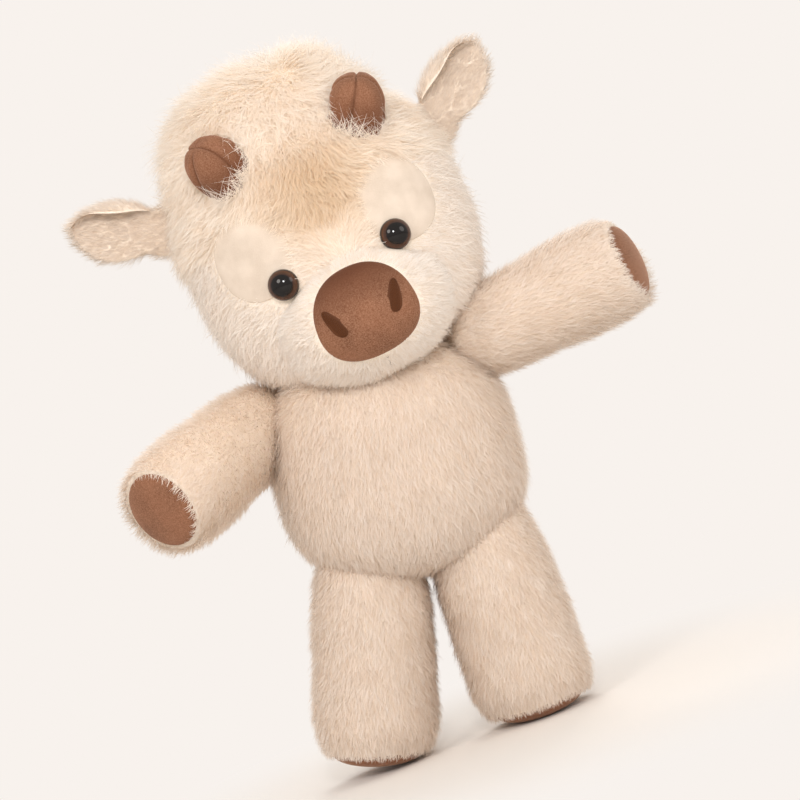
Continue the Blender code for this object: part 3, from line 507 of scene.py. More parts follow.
def soften(data, towards):
    """Light each strand as the coat's own surface: a fibre is too thin for its side to matter."""
    lay = np.empty(len(data.vertices) * 3, dtype=np.float32)
    data.attributes["lay"].data.foreach_get("vector", lay)
    data.shade_smooth()
    lay, towards = lay.reshape(-1, 3), np.array(towards)
    sideways = 1 - np.abs(lay @ unit(towards[None])[0])
    data.normals_split_custom_set_from_vertices(unit(lay + np.outer(sideways, towards)).tolist())


# %% Growing and placing
LAYERS = (("undercoat", 0.85), ("coat", 1.0), ("top_coat", 1.12))


def run_tree(work, tree, name, values):
    """Run a Geometry Nodes tree on a working object, and keep the result as a plain mesh object."""
    modifier = work.modifiers.new(tree.name, "NODES")
    modifier.node_group = tree
    for item in tree.interface.items_tree:
        if item.item_type == "SOCKET" and item.in_out == "INPUT" and item.name in values:
            modifier[item.identifier] = values[item.name]
    bpy.context.view_layer.update()
    data = bpy.data.meshes.new_from_object(work.evaluated_get(bpy.context.evaluated_depsgraph_get()))
    bpy.data.objects.remove(work, do_unlink=True)
    data.name = name
    return new_object(name, data)


def grow(name, skin, material, body, per_m2, length, seed, width=0.42 * MM, lift=1.0, spread=0.35, tuft=6 * MM,
         pull=60.0, floor=None, towards=(0.0, 0.0, 0.0)):
    """Grow a coat on a skin, and return it as a plain mesh object that rides on the skin's body."""
    thing = run_tree(new_object(name + "_work", skin.data.copy()), coat, name, {
        "Strands per m2": per_m2, "Seed": seed, "Length": length, "Width": width, "Spread": spread,
        "Tuft size": tuft, "Tuft pull": pull, "Lift": lift, "Material": material})
    if floor is not None:
        flatten(thing, floor)
    soften(thing.data, towards)
    if body:
        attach(thing, body)
    print(name, "strands' triangles:", sum(len(p.vertices) - 2 for p in thing.data.polygons))
    return thing


def grow_layers(name, count, skin, material, body, per_m2, length, seed, **more):
    """Grow a dense pile as layers from short to long, each light enough to be a piece of its own."""
    return [grow(name + "_" + label, skin, material, body, per_m2=per_m2 / count, length=length * factor,
                 seed=seed + 100 * i, **more) for i, (label, factor) in enumerate(LAYERS[:count])]


def settle(thing, body, slot, *nodes):
    """A finished piece rides on its body and stands for its CAD nodes. Its slot is not used."""
    if body:
        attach(thing, body)
    if nodes:
        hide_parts(*nodes)


def dress(skin, body, nodes, slot):
    """Put a padded skin in its CAD nodes' place."""
    settle(skin, body, slot, *nodes)


# %% [markdown]
# ## Torso
# The belly is a full pear. Its pile is combed down from the neck, and it turns a little here and there.

# %% Torso
torso = stuffed_skin("torso", torso_form, backing)
spots = points_of(torso)
down = np.tile(-axis_of(TORSO), (len(spots), 1))
trim = np.where(inside(head_form, spots, -4 * MM) | inside(muzzle_form, spots, -2 * MM), 0.0, 1.0)
comb_skin(torso, down + swirl(spots, 40 * MM, 0.35), trim)
torso_coats = grow_layers("torso", 3, torso, body_fur, "torso", per_m2=1050000, length=11 * MM, seed=1, spread=0.45,
                          pull=15.0)
dress(torso, "torso", ("body_skin", "body_stuffing"), "fur_fabric")

# %% [markdown]
# ## Arms and legs
# Each limb is a sleeve of fur fabric turned about its own axis: a round root that sits in the torso like a ball in a
# socket, a slight neck, a full middle and an open end. The pile is combed towards the paw and stands past the end as a
# fringe. The sleeve's end is closed by a round velour pad. The left arm's end leans forward, so its pad shows.

# %% Limb shapes
PAD_GAP = 0.3 * MM
LIMB_PILE = 10.5 * MM


def aim(direction):
    """The rotation that points +Z along a direction."""
    return Vector(direction).to_track_quat("Z", "Y").to_matrix().to_4x4()


def smooth_line(points, steps):
    """Points on a Catmull-Rom curve through the given ones."""
    out = []
    for i in range(len(points) - 1):
        a, b, c, d = (Vector(points[min(max(k, 0), len(points) - 1)]) for k in range(i - 1, i + 3))
        for s in range(steps):
            t = s / steps
            bend, twist = 2 * a - 5 * b + 4 * c - d, 3 * b - a - 3 * c + d
            out.append(((2 * b) + (c - a) * t + bend * t * t + twist * t ** 3) / 2)
    out.append(Vector(points[-1]))
    return out


def limb_line(sunk, neck, radius, length, end):
    """Half section of a limb, as (radius, height): its top lies sunk in the torso, its end at the edge of its pad."""
    line = [Vector((0, -sunk))]
    body = [(neck * 0.45, -sunk * 0.98), (neck * 0.74, -sunk * 0.80), (neck * 0.91, -sunk * 0.45), (neck, 0)]
    body += [(neck + (radius - neck) * full, length * at) for at, full in ((0.3, 0.42), (0.58, 0.92), (0.8, 1.0))]
    body += [(radius * 0.93, length * 0.93), (end, length)]
    return line + smooth_line(body, 6) + [Vector((end * share, length - 0.4 * MM)) for share in (0.8, 0.4, 0.0)]


def turned_skin(name, place, line, material, around=64, lumpy=True):
    """A closed skin turned about the place's Z axis."""
    mesh = bmesh.new()
    rows = []
    for radius, height in line:
        row = []
        for i in range(around if radius > 1e-6 else 1):
            angle = 2 * math.pi * i / around
            spot = place @ Vector((radius * math.cos(angle), radius * math.sin(angle), height))
            axis = place @ Vector((0, 0, height))
            push = lumps(spot, FILLING_LUMP, FILLING_LUMP_HEIGHT * 0.8) if lumpy and radius > 1e-6 else 0
            row.append(mesh.verts.new(spot + (spot - axis).normalized() * push))
        rows.append(row)
    skin_rows(mesh, rows)
    return finish_mesh(name, mesh, material)


def dome(radius, height, low, steps, power=1.0):
    """Half section of a dome that starts low under its foot."""
    return [Vector((radius * math.cos(a) if a < 1.57 else 0, low + height * math.sin(a) ** power))
            for a in np.linspace(0, math.pi / 2, steps)]


def slant_end(thing, place, length, slope):
    """Lean a limb's end towards the front, so that its pad looks forwards."""
    axis = axis_of(place)
    front = np.array((0.0, -1.0, 0.0)) + axis * axis[1]
    spots = points_of(thing)
    offset = spots - np.array(place.translation)
    share = np.clip(offset @ axis / length - 0.5, 0, 0.5) * 2
    spots -= np.outer(slope * (offset @ unit(front)) * share ** 2, axis)
    set_points(thing, spots)


def velour_pad(name, place, length, radius, height, slope, body):
    """A round velour pad: swollen in the middle, drawn in at its stitched edge."""
    line = [Vector((0, length - 1.1 * MM)), Vector((radius * 0.7, length - 1.1 * MM))]
    line += dome(radius, height + 0.6 * MM, length - 0.6 * MM, 14, 0.8)
    pad = turned_skin(name, place, line, velour, 64, False)
    slant_end(pad, place, length, slope)
    flatten(pad)
    settle(pad, body, "brown_velour", name)


def build_limb(name, pad_name, place, sizes, pad_radius, pad_height, seed, edge_cut, lip, slope=0.0):
    """A sleeve with its coat and pad. The pile is cut shorter at the pad, and the sleeve ends a lip before it."""
    sunk, neck, radius, length = sizes
    axis, root = axis_of(place), np.array(place.translation)
    skin = turned_skin(name, place, limb_line(sunk, neck, radius, length - lip, pad_radius + 2.4 * MM), backing)
    slant_end(skin, place, length, slope)
    flatten(skin, 0.4 * MM)
    spots = points_of(skin)
    along = (spots - root) @ axis
    off_axis = np.linalg.norm(spots - root - along[:, None] * axis, axis=1)
    outwards = spots - (root + along[:, None] * axis)
    shown = 0.6 - outwards[:, 1] / radius + 1.6 * slope / 0.3 * outwards[:, 2] / radius
    near_end = np.clip((along - length + 16 * MM) / (14 * MM), 0, 1)
    trim = np.where(inside(torso_form, spots, -2 * MM), 0.0, 1.0) * (1 - edge_cut * near_end * np.clip(shown, 0, 1))
    trim = np.where((along > length - lip - 3 * MM) & (off_axis < pad_radius - 2.5 * MM), 0.0, trim)
    comb = np.tile(axis, (len(spots), 1)) + np.array((0, 0, -0.15))
    comb_skin(skin, comb + swirl(spots, 35 * MM, 0.3), trim)
    pile = grow(name + "_coat", skin, body_fur, None, per_m2=1000000, length=LIMB_PILE, seed=seed, spread=0.45,
                pull=18.0, floor=0.3 * MM)
    dress(skin, None, (name + "_skin", name + "_stuffing"), "fur_fabric")
    for sleeve in (skin, pile):
        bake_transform(sleeve)
    velour_pad(pad_name, place, length - lip, pad_radius - PAD_GAP, pad_height + lip, slope, name)


# %% Arms
ARM = (34 * MM, 29 * MM, 33 * MM, 103 * MM)
for (side, sign), (spread, rise, drop, forward), edge_cut, slope in zip(
        SIDES, ((93.5, 42, 27, 47), (90.0, 69, -10.5, 4)), (0.15, 0.75), (0.0, 0.30)):
    drop, forward = math.radians(drop), math.radians(forward)
    heading = (sign * math.cos(forward) * math.cos(drop), -math.sin(forward), -math.cos(forward) * math.sin(drop))
    build_limb("arm_" + side, "paw_pad_" + side, TORSO @ move(sign * spread, -10, rise) @ aim(heading), ARM,
               27 * MM, 6 * MM, 20 + sign, edge_cut, 1.5 * MM, slope)

# %% Legs
for (side, sign), height, splay, length in zip(SIDES, (104.1, 97.9), (17, 0), (98.92, 93.90)):
    splay = math.radians(splay)
    pivot = Vector((sign * 44.5 * MM - 6.92 * MM, -6 * MM, height * MM))
    place = TOY @ Matrix.Translation(pivot) @ aim((sign * math.sin(splay), 0, -math.cos(splay)))
    build_limb("leg_" + side, "sole_pad_" + side, place, (62 * MM, 38.5 * MM, 39.5 * MM, length * MM),
               32 * MM, 5 * MM, 30 + sign, 0.7, 6 * MM)

# %% [markdown]
# ## Head
# The head is one stuffed ball with a chin, and the face is laid out in its own axes: x across, y back, z up. The pile
# runs outwards from the nose and falls over the cheeks. Two ovals are left bare for the smooth eye patches, and the
# pile is short and open round the eyes and horns.

# %% Face plan
PATCHES = ((-50.5 * MM, -1 * MM), (50.5 * MM, -7 * MM))
PATCH_HALF = (25.5 * MM, 29 * MM)
EYES = ((-39.8 * MM, -25.7 * MM), (39.8 * MM, -27.9 * MM))
NOSE_DROP = 65 * MM
HORN_ROOTS = [head_form.front(x * MM, z * MM) for x, z in ((-42.5, 59), (52.5, 55))]
HORN_CLEARING = 17 * MM


def patch_level(local):
    """Below 1 inside the nearer eye patch's outline, for points of the face in the head's own axes."""
    levels = [np.abs((local[:, 0] - x) / PATCH_HALF[0]) ** 2.2 + np.abs((local[:, 2] - z) / PATCH_HALF[1]) ** 2.2
              for x, z in PATCHES]
    return np.where(local[:, 1] < 0, np.minimum(*levels), 9.0)


def world_directions(place, local):
    return local @ np.array(place)[:3, :3].T


def past_horns(local, reach=24 * MM):
    """Directions that part the pile round the horns."""
    away = np.zeros_like(local)
    for root in HORN_ROOTS:
        gap = local - np.array(root)
        far = np.linalg.norm(gap, axis=1, keepdims=True)
        away += gap / np.maximum(far, MM) * np.exp(-(far / reach) ** 2)
    return away


def horn_clear(local, by=0.0):
    """Points that lie outside the horns' roots."""
    far = [np.linalg.norm(local - np.array(root), axis=1) for root in HORN_ROOTS]
    return np.min(far, axis=0) > HORN_CLEARING + by


def from_eyes(local):
    """How far points of the face lie from the nearer eye; far for all points behind the face."""
    near = np.min([np.hypot(local[:, 0] - x, local[:, 2] - z) for x, z in EYES], axis=0)
    return np.where(local[:, 1] < 0, near, 1.0)


def warmth(local):
    """The pile is warmer in colour between the horns and down the middle of the brow."""
    across = np.exp(-((local[:, 0] - 6 * MM) / (34 * MM)) ** 2) * np.clip(-local[:, 1] / (30 * MM), 0, 1)
    below_crown = np.clip((74 * MM - local[:, 2]) / (34 * MM), 0, 1)
    above_nose = np.clip((local[:, 2] + 34 * MM) / (40 * MM), 0, 1)
    return 0.75 * across * below_crown * above_nose


def horn_ring(local):
    """Points in the half ring on the lower, inner side of a horn's root."""
    near = np.zeros(len(local), dtype=bool)
    for root in HORN_ROOTS:
        gap = local - np.array(root)
        far = np.linalg.norm(gap, axis=1)
        side = gap @ np.array((-math.copysign(0.75, root.x), 0.0, -0.65))
        near |= (far > HORN_CLEARING) & (far < 27 * MM) & (side > -0.1 * far)
    return near


# %% Head skin and coats
head = stuffed_skin("head", head_form, backing, 112, 80)
spots = points_of(head)
local = head_form.local(spots)
facing = np.clip(-local[:, 1] / head_form.deep, 0, 1)[:, None]
from_nose = np.stack([local[:, 0], np.zeros(len(local)), local[:, 2] + NOSE_DROP], axis=1)
cheeks = unit(from_nose) * facing * 0.9 + np.array((0, 0.45, -0.75))
hidden = inside(muzzle_form, spots, -2 * MM) | inside(hair_form, spots, -9 * MM)
level = patch_level(local)
brow = (local[:, 1] < 0) & (local[:, 2] > 6 * MM + 0.10 * np.abs(local[:, 0]))
trim = np.where(hidden | (level < 0.92) | ~horn_clear(local), 0.0, 0.55 + 0.45 * np.clip((level - 0.9) / 0.9, 0, 1))
near_eye = from_eyes(local)
trim = np.where(near_eye < 12.5 * MM, 0.0, trim * np.clip((near_eye - 9 * MM) / (12 * MM), 0.25, 1))
comb_skin(head, world_directions(HEAD, cheeks) + swirl(spots, 38 * MM, 0.4), np.where(brow, 0.0, trim), warmth(local))
head_coats = grow_layers("head", 2, head, face_fur_painted_light, "head", per_m2=900000, length=13 * MM, seed=3, spread=0.5,
                         pull=35.0)
head_coats.append(grow("head_guard_hair", head, face_fur_painted_light, "head", per_m2=60000, length=20 * MM, seed=203,
                       width=0.4 * MM, lift=1.5, spread=0.8, tuft=10 * MM, pull=30.0))

# %% Forelock
WHORL = (4 * MM, 22 * MM)
across, above = local[:, 0] - WHORL[0], local[:, 2] - WHORL[1]
fall = np.clip(above / (40 * MM), 0, 1)
forelock = np.stack([across * 22 * (1.2 - 0.6 * fall), np.full(len(local), -0.1), -0.25 - 0.9 * fall], axis=1)
forelock = world_directions(HEAD, forelock + 1.2 * past_horns(local)) + swirl(spots, 24 * MM, 0.6)
comb_skin(head, forelock, np.where(brow & (level > 1.0), trim, 0.0), warmth(local))
head_coats.append(grow("brow_coat", head, crown_fur, "head", per_m2=1200000, length=18 * MM, seed=4, spread=0.5,
                       tuft=8 * MM, pull=40.0))
comb_skin(head, world_directions(HEAD, -past_horns(local)), np.where(horn_ring(local) & ~hidden, 1.0, 0.0))
head_coats.append(grow("horn_fringe_coat", head, crown_fur, "head", per_m2=700000, length=27 * MM, seed=7,
                       width=0.26 * MM, lift=1.9, spread=0.5, tuft=9 * MM, pull=40.0))
dress(head, "head", ("head_skin", "head_stuffing"), "fur_fabric")

# %% Muzzle
NOSE_HALF = (38 * MM, 30.5 * MM)
muzzle = stuffed_skin("muzzle", muzzle_form, backing, 80, 56)
spots = points_of(muzzle)
local = muzzle_form.local(spots)


def nose_level(local):
    """Below 1 inside the nose's outline, which narrows towards its top."""
    narrow = 1 - 0.20 * (local[:, 2] / (2 * NOSE_HALF[1]) + 0.5)
    return np.abs(local[:, 0] / (NOSE_HALF[0] * narrow)) ** 2.2 + np.abs(local[:, 2] / NOSE_HALF[1]) ** 2.2


bare = (nose_level(local) < 1.0) & (local[:, 1] < 0)
outward = unit(np.stack([local[:, 0], 0.25 * np.ones(len(local)) * 40 * MM, local[:, 2]], axis=1))
outward[:, 2] -= 0.25
near = np.clip((nose_level(local) - 1) / 1.2, 0, 1)
near_eye = from_eyes(head_form.local(spots))
trim = np.where(bare | (near_eye < 14 * MM) | inside(head_form, spots, -3 * MM), 0.0,
                (0.5 + 0.5 * near) * np.clip((near_eye - 12 * MM) / (14 * MM), 0.25, 1))
comb_skin(muzzle, world_directions(MUZZLE, outward) + swirl(spots, 30 * MM, 0.3), trim)
muzzle_coat = grow("muzzle_coat", muzzle, face_fur_painted_light, "head", per_m2=1200000, length=12 * MM, seed=5, spread=0.45,
                   pull=35.0)
dress(muzzle, "head", ("muzzle_skin", "muzzle_stuffing"), "fur_fabric")

# %% Hair on the crown
hair = stuffed_skin("hair", hair_form.grown(-5 * MM), backing, 96, 64)
hair.data.transform(Matrix.Translation(HEAD.to_3x3() @ Vector((-5 * MM, 0, 3 * MM))))
spots = points_of(hair)
local = head_form.local(spots)
rise = np.array((-0.1, 0.35, -0.1)) + unit(local - np.array((0, 0, 40 * MM))) * 0.5 + 1.2 * past_horns(local, 26 * MM)
rise[:, 2] -= np.where(local[:, 1] < -0.03, 0.8, 0.1)
trim = np.where(inside(head_form, spots, -2 * MM) | ~horn_clear(local, 1 * MM), 0.0, 1.0)
comb_skin(hair, world_directions(HEAD, rise) + swirl(spots, 28 * MM, 0.7), trim, warmth(local))
hair_coats = [grow("hair_coat", hair, crown_fur, "head", per_m2=1000000, length=24 * MM, seed=6, lift=1.7, spread=0.8,
                   tuft=9 * MM, pull=28.0),
              grow("hair_guard_hair", hair, crown_fur, "head", per_m2=130000, length=32 * MM, seed=206,
                   width=0.38 * MM, lift=2.0, spread=1.0, tuft=12 * MM, pull=25.0)]
comb_skin(hair, world_directions(HEAD, -past_horns(local)), np.where(horn_ring(local) & (trim > 0), 1.0, 0.0))
hair_coats.append(grow("hair_fringe_coat", hair, crown_fur, "head", per_m2=450000, length=23 * MM, seed=8,
                       width=0.26 * MM, lift=1.9, spread=0.5, tuft=9 * MM, pull=40.0))
dress(hair, "head", ("hair_tuft",), "long_fur_fabric")

# %% [markdown]
# ## Ears
# An ear is two layers sewn round the edge: a flat root, then a cupped leaf that comes to a soft point, with its inner
# edge folded over and its tip bent. Here both layers share one closed skin. The pile is a little shorter in the cup
# than
# on the back, and darker there: painted shade.

# %% Ears
EAR_LENGTH, EAR_ROOT, EAR_HALF, EAR_THICK, EAR_EDGE = 65 * MM, 17 * MM, 30 * MM, 6 * MM, 1.2 * MM
EAR_CUP, EAR_FOLD, EAR_BEND = 7 * MM, 12 * MM, 7 * MM
EAR_ROWS, EAR_AROUND = 36, 40


def ear_half_width(x):
    """Half width of the ear at a distance from its hinge: round at the root, widest half way, pointed."""
    if x <= 0:
        return max(math.sqrt(max(EAR_ROOT ** 2 - x ** 2, 0)), EAR_EDGE)
    share = x / EAR_LENGTH
    if share <= 0.5:
        return EAR_ROOT + (EAR_HALF - EAR_ROOT) * math.sin(math.pi / 2 * max(share - 0.15, 0) / 0.35)
    return max(EAR_HALF * max(1 - ((share - 0.5) / 0.5) ** 2, 0) ** 0.9, EAR_EDGE)


def ear_spot(x, angle):
    """A point of the ear's skin: along it, and round its flat section. Below 0 the angle lies in the cup."""
    share = max(x, 0) / EAR_LENGTH
    across = math.cos(angle)
    spread = math.sin(math.pi * min(max((x - 4 * MM) / EAR_LENGTH, 0), 1)) ** 0.7
    fold = max(across, 0) ** 2.4 * spread
    cup = EAR_CUP * across ** 2 * spread + EAR_FOLD * fold
    across += (0.22 - 0.92 * fold / max(spread, 0.01)) * spread
    thick = EAR_THICK * math.sin(angle) * (1 - 0.6 * share ** 2) * (0.75 + 0.25 * abs(math.sin(angle)))
    return x, thick - cup, ear_half_width(x) * across - EAR_BEND * share ** 1.5


for (side, sign), lift in zip(SIDES, (34, 44)):
    place = HEAD @ move(sign * 98, 0, 40.5 - sign * 7.5) @ turn(-sign * lift, "Y")
    mesh = bmesh.new()
    rows, lining = [], []
    for i in range(EAR_ROWS + 1):
        x = -EAR_ROOT + (EAR_LENGTH + EAR_ROOT) * (1 - math.cos(math.pi * i / EAR_ROWS)) / 2
        angles = [2 * math.pi * j / EAR_AROUND for j in range(EAR_AROUND)]
        lining += [math.sin(angle) < -0.1 for angle in angles]
        rows.append([mesh.verts.new(place @ Vector((sign * x, y, z)))
                     for x, y, z in (ear_spot(x, angle) for angle in angles)])
    poles = [[mesh.verts.new(sum((v.co for v in row), Vector()) / EAR_AROUND)] for row in (rows[0], rows[-1])]
    skin_rows(mesh, [poles[0]] + rows + [poles[1]])
    ear = finish_mesh("ear_" + side, mesh, backing)
    spots = points_of(ear)
    front = np.array(lining + [False, False])
    trim = np.where(inside(head_form, spots, 1 * MM), 0.0, np.where(front, 0.7, 1.15))
    comb = np.tile((sign * 1.0, 0.0, -0.15), (len(spots), 1)) + np.outer(in_axes(place, spots)[:, 2] * 12, (0, 0, 1))
    # Painted shade: the cup is darker than the back.
    comb_skin(ear, world_directions(place, comb) + swirl(spots, 18 * MM, 0.35), trim, np.where(front, 0.35, 0.0))
    pile = grow("ear_%s_coat" % side, ear, ear_fur, "ear_" + side, per_m2=1300000, length=9 * MM, seed=40 + sign,
                width=0.4 * MM, spread=0.25, towards=-0.8 * axis_of(place, 1))
    dress(ear, "ear_" + side, ("ear_back_" + side, "ear_lining_" + side), "fur_fabric")

# %% [markdown]
# ## Patches laid on the face
# The nose, the nostrils and the eye patches are cut flat and sewn onto a round form. Each outline is laid over the
# form's front, ring by ring from the middle, and lifted along the surface. A turned-in edge makes a sewn patch rise
# steeply at its rim and stay nearly level inside, so the lift depends on how far a ring lies from the rim.

# %% Laid patches


def face_normal(form, x, z):
    """The direction that a form's front faces at this width and height, in its own axes."""
    step = 0.5 * MM
    across = form.front(x + step, z) - form.front(x - step, z)
    up = form.front(x, z + step) - form.front(x, z - step)
    return across.cross(up).normalized()


def oval(width, height, power, top_share=1.0, count=72):
    """An outline of (x, z), wider at the bottom where top_share is below 1."""
    out = []
    for i in range(count):
        angle = 2 * math.pi * i / count
        c, s = math.cos(angle), math.sin(angle)
        x = width / 2 * math.copysign(abs(c) ** (2 / power), c)
        z = height / 2 * math.copysign(abs(s) ** (2 / power), s)
        out.append((x * (1 - (1 - top_share) * (z / height + 0.5)), z))
    return out


def laid_piece(name, form, outline, centre, tilt, lift, back, material, rings=20):
    """A closed pad on a form's front; lift gives its height for a share of the way from middle to rim."""
    mesh = bmesh.new()
    sides = []
    for top in (True, False):
        rows = []
        for r in range(rings + 1):
            share = math.sin(math.pi / 2 * r / rings)
            row = []
            for x, z in (outline if r else outline[:1]):
                turned_x = share * (x * math.cos(tilt) + z * math.sin(tilt)) + centre[0]
                turned_z = share * (z * math.cos(tilt) - x * math.sin(tilt)) + centre[1]
                height = lift(share) if top else back
                spot = form.front(turned_x, turned_z) + face_normal(form, turned_x, turned_z) * height
                row.append(mesh.verts.new(form.place @ spot))
            rows.append(row)
        sides.append(rows)
    skin_rows(mesh, sides[0] + sides[1][::-1])
    return finish_mesh(name, mesh, material)


def pillow(low, rise):
    """A rim that rises steeply from low and levels off, as a stuffed patch does."""
    return lambda share: low + rise * max(1 - share ** 3, 0) ** 0.5


# %% [markdown]
# ## Embroidery
# Satin stitch is a row of threads laid side by side. Each row is one point with a direction and a width, and a small
# Geometry Nodes tree stands a rounded thread on each point. The thread is rayon or polyester: it shines along its
# length, so it is smoother than the velour round it.

# %% Thread material and satin stitch


def thread_material(name, colour, light):
    """Twisted filament: a mottle of 0.35 mm turns."""
    material, tree, shader = new_material(name)
    place = add(tree, "ShaderNodeTexCoord").outputs["Object"]
    twist = add(tree, "ShaderNodeTexNoise", Vector=place, Scale=1 / (0.35 * MM), Detail=2.0)
    mottle = add(tree, "ShaderNodeMix", COLOURS, _0=twist, _6=linear(colour), _7=linear(light)).outputs[2]
    bump = add(tree, "ShaderNodeBump", Strength=0.35, Distance=0.08 * MM, Height=twist)
    plug(tree, shader, Base_Color=mottle, Normal=bump, Roughness=0.5, Specular_IOR_Level=0.25)
    return material


def thread_shape(name, rings=7, sides=6):
    """A thread one unit long and one unit thick, arched a little, with its ends pulled into the cloth."""
    mesh = bmesh.new()
    rows = [[mesh.verts.new((-0.5, 0, -1.2))]]
    for k in range(rings):
        x = -0.5 + (k + 0.5) / rings
        height = 1.0 - 2.2 * abs(2 * x) ** 3
        rows.append([mesh.verts.new((x, 0.5 * math.cos(a), height + 0.5 * math.sin(a)))
                     for a in (2 * math.pi * i / sides for i in range(sides))])
    rows.append([mesh.verts.new((0.5, 0, -1.2))])
    skin_rows(mesh, rows)
    return finish_mesh(name, mesh, None)


def satin_tree():
    tree, given = new_tree("satin_stitch", (("Rows", "Geometry"), ("Thread width", "Float"), ("Material", "Material")),
                           "Stitches")
    across, out, wide = (add(tree, "GeometryNodeInputNamedAttribute", {"data_type": kind}, Name=name)
                         for name, kind in (("across", "FLOAT_VECTOR"), ("out", "FLOAT_VECTOR"), ("wide", "FLOAT")))
    facing = add(tree, "FunctionNodeAxesToRotation", {"primary_axis": "X", "secondary_axis": "Z"}, _0=across, _1=out)
    size = add(tree, "ShaderNodeCombineXYZ", _0=wide, _1=given["Thread width"], _2=given["Thread width"])
    shape = add(tree, "GeometryNodeObjectInfo", {"transform_space": "ORIGINAL"}, _0=thread_piece)
    laid = add(tree, "GeometryNodeInstanceOnPoints", Points=given["Rows"], Instance=shape.outputs["Geometry"],
               Rotation=facing, Scale=size)
    real = add(tree, "GeometryNodeRealizeInstances", _0=laid)
    painted = add(tree, "GeometryNodeSetMaterial", _0=real, Material=given["Material"])
    add(tree, "NodeGroupOutput", _0=painted)
    return tree


thread_piece = thread_shape("thread_piece")
satin = satin_tree()
STITCH_OVERLAP = 0.85


def satin_rows(name, form, centre, tilt, length, half_width, width, material, base=0.0):
    """Threads laid across a shape whose half width is given along its length."""
    count = max(int(length / (width * STITCH_OVERLAP)), 2)
    spots, across, out, wide = [], [], [], []
    for k in range(count):
        along = length * (0.5 - (k + 0.5) / count)
        half = half_width(along)
        ends = []
        for side in (-half, half):
            x = side * math.cos(tilt) + along * math.sin(tilt) + centre[0]
            z = along * math.cos(tilt) - side * math.sin(tilt) + centre[1]
            ends.append(form.front(x, z) + face_normal(form, x, z) * base)
        middle = (ends[0] + ends[1]) / 2
        spots.append(form.place @ middle)
        across.append(form.place.to_3x3() @ (ends[1] - ends[0]))
        out.append(form.place.to_3x3() @ face_normal(form, middle.x, middle.z))
        wide.append((ends[1] - ends[0]).length + width)
    data = bpy.data.meshes.new(name + "_rows")
    data.from_pydata(spots, [], [])
    for label, values in (("across", across), ("out", out), ("wide", wide)):
        store(data, label, values)
    thing = run_tree(new_object(name + "_rows", data), satin, name, {"Thread width": width, "Material": material})
    thing.data.shade_smooth()
    print(name, "threads:", count)
    return thing


dark_thread = thread_material("rayon_embroidery_thread_dark_brown", "3F1E08", "633512")

# %% Nose
nose = laid_piece("nose", muzzle_form, oval(2 * NOSE_HALF[0], 2 * NOSE_HALF[1], 2.3, 0.80), (0, 0), 0,
                  pillow(0.2 * MM, 3.6 * MM), -1.5 * MM, velour)
settle(nose, "head", "brown_velour", "nose")
# Painted shade: the nose is darker towards its top.
height = muzzle_form.local(points_of(nose))[:, 2] / NOSE_HALF[1]
store(nose.data, "painted_shade", np.clip((height - 0.05) / 0.95, 0, 1))
nose_top = muzzle_form.grown(3.4 * MM)

# %% Nostrils and chin
NOSTRIL_LENGTH, NOSTRIL_HALF, NOSTRIL_OUT, NOSTRIL_TILT = 22 * MM, 6.2 * MM, 21.5 * MM, math.radians(22)
THREAD_WIDTH = 0.42 * MM


def nostril_half(along):
    """Half width of the drop at a height above its middle: narrow at the top."""
    share = min(max(0.5 - along / NOSTRIL_LENGTH, 0), 1)
    return NOSTRIL_HALF * max(1 - abs(2 * share - 1) ** 2.4, 0) ** 0.42 * (0.50 + 0.52 * share)


def nostril_outline(size):
    heights = [math.cos(math.pi * i / 24) * NOSTRIL_LENGTH / 2 for i in range(25)]
    half = [(nostril_half(z) * size, z * size) for z in heights]
    return half + [(-x, z) for x, z in half[-2:0:-1]]


for side, sign in SIDES:
    spot = (sign * NOSTRIL_OUT, 0)
    bed = laid_piece("nostril_bed_" + side, nose_top, nostril_outline(0.94), spot, sign * NOSTRIL_TILT,
                     lambda share: 0.15 * MM, -0.8 * MM, dark_thread, 5)
    stitches = satin_rows("nostril_" + side + "_stitches", nose_top, spot, sign * NOSTRIL_TILT, NOSTRIL_LENGTH,
                          nostril_half, THREAD_WIDTH, dark_thread)
    settle(bed, "head", "embroidery_thread", "nostril_" + side)
    settle(stitches, "head", "embroidery_thread")
chin = satin_rows("chin_stitch_threads", muzzle_form, (0, -36.3 * MM), 0, 7 * MM, lambda along: 0.8 * MM, 0.5 * MM,
                  dark_thread, 0.8 * MM)
settle(chin, "head", "embroidery_thread", "chin_stitch")

# %% [markdown]
# ## Eye patches and eyes
# The eye patches are smooth short plush, sewn on before the eyes go in. A safety eye is one moulded piece: a domed
# head with a brown ring round a black middle, and a shank that goes through patch and skin to a washer inside.

# %% Materials of the patches and eyes
EYE_STOPS = ((0.0, "0B0706"), (0.66, "0E0908"), (0.74, "3E261A"), (0.90, "4C3022"), (0.97, "1C120E"))


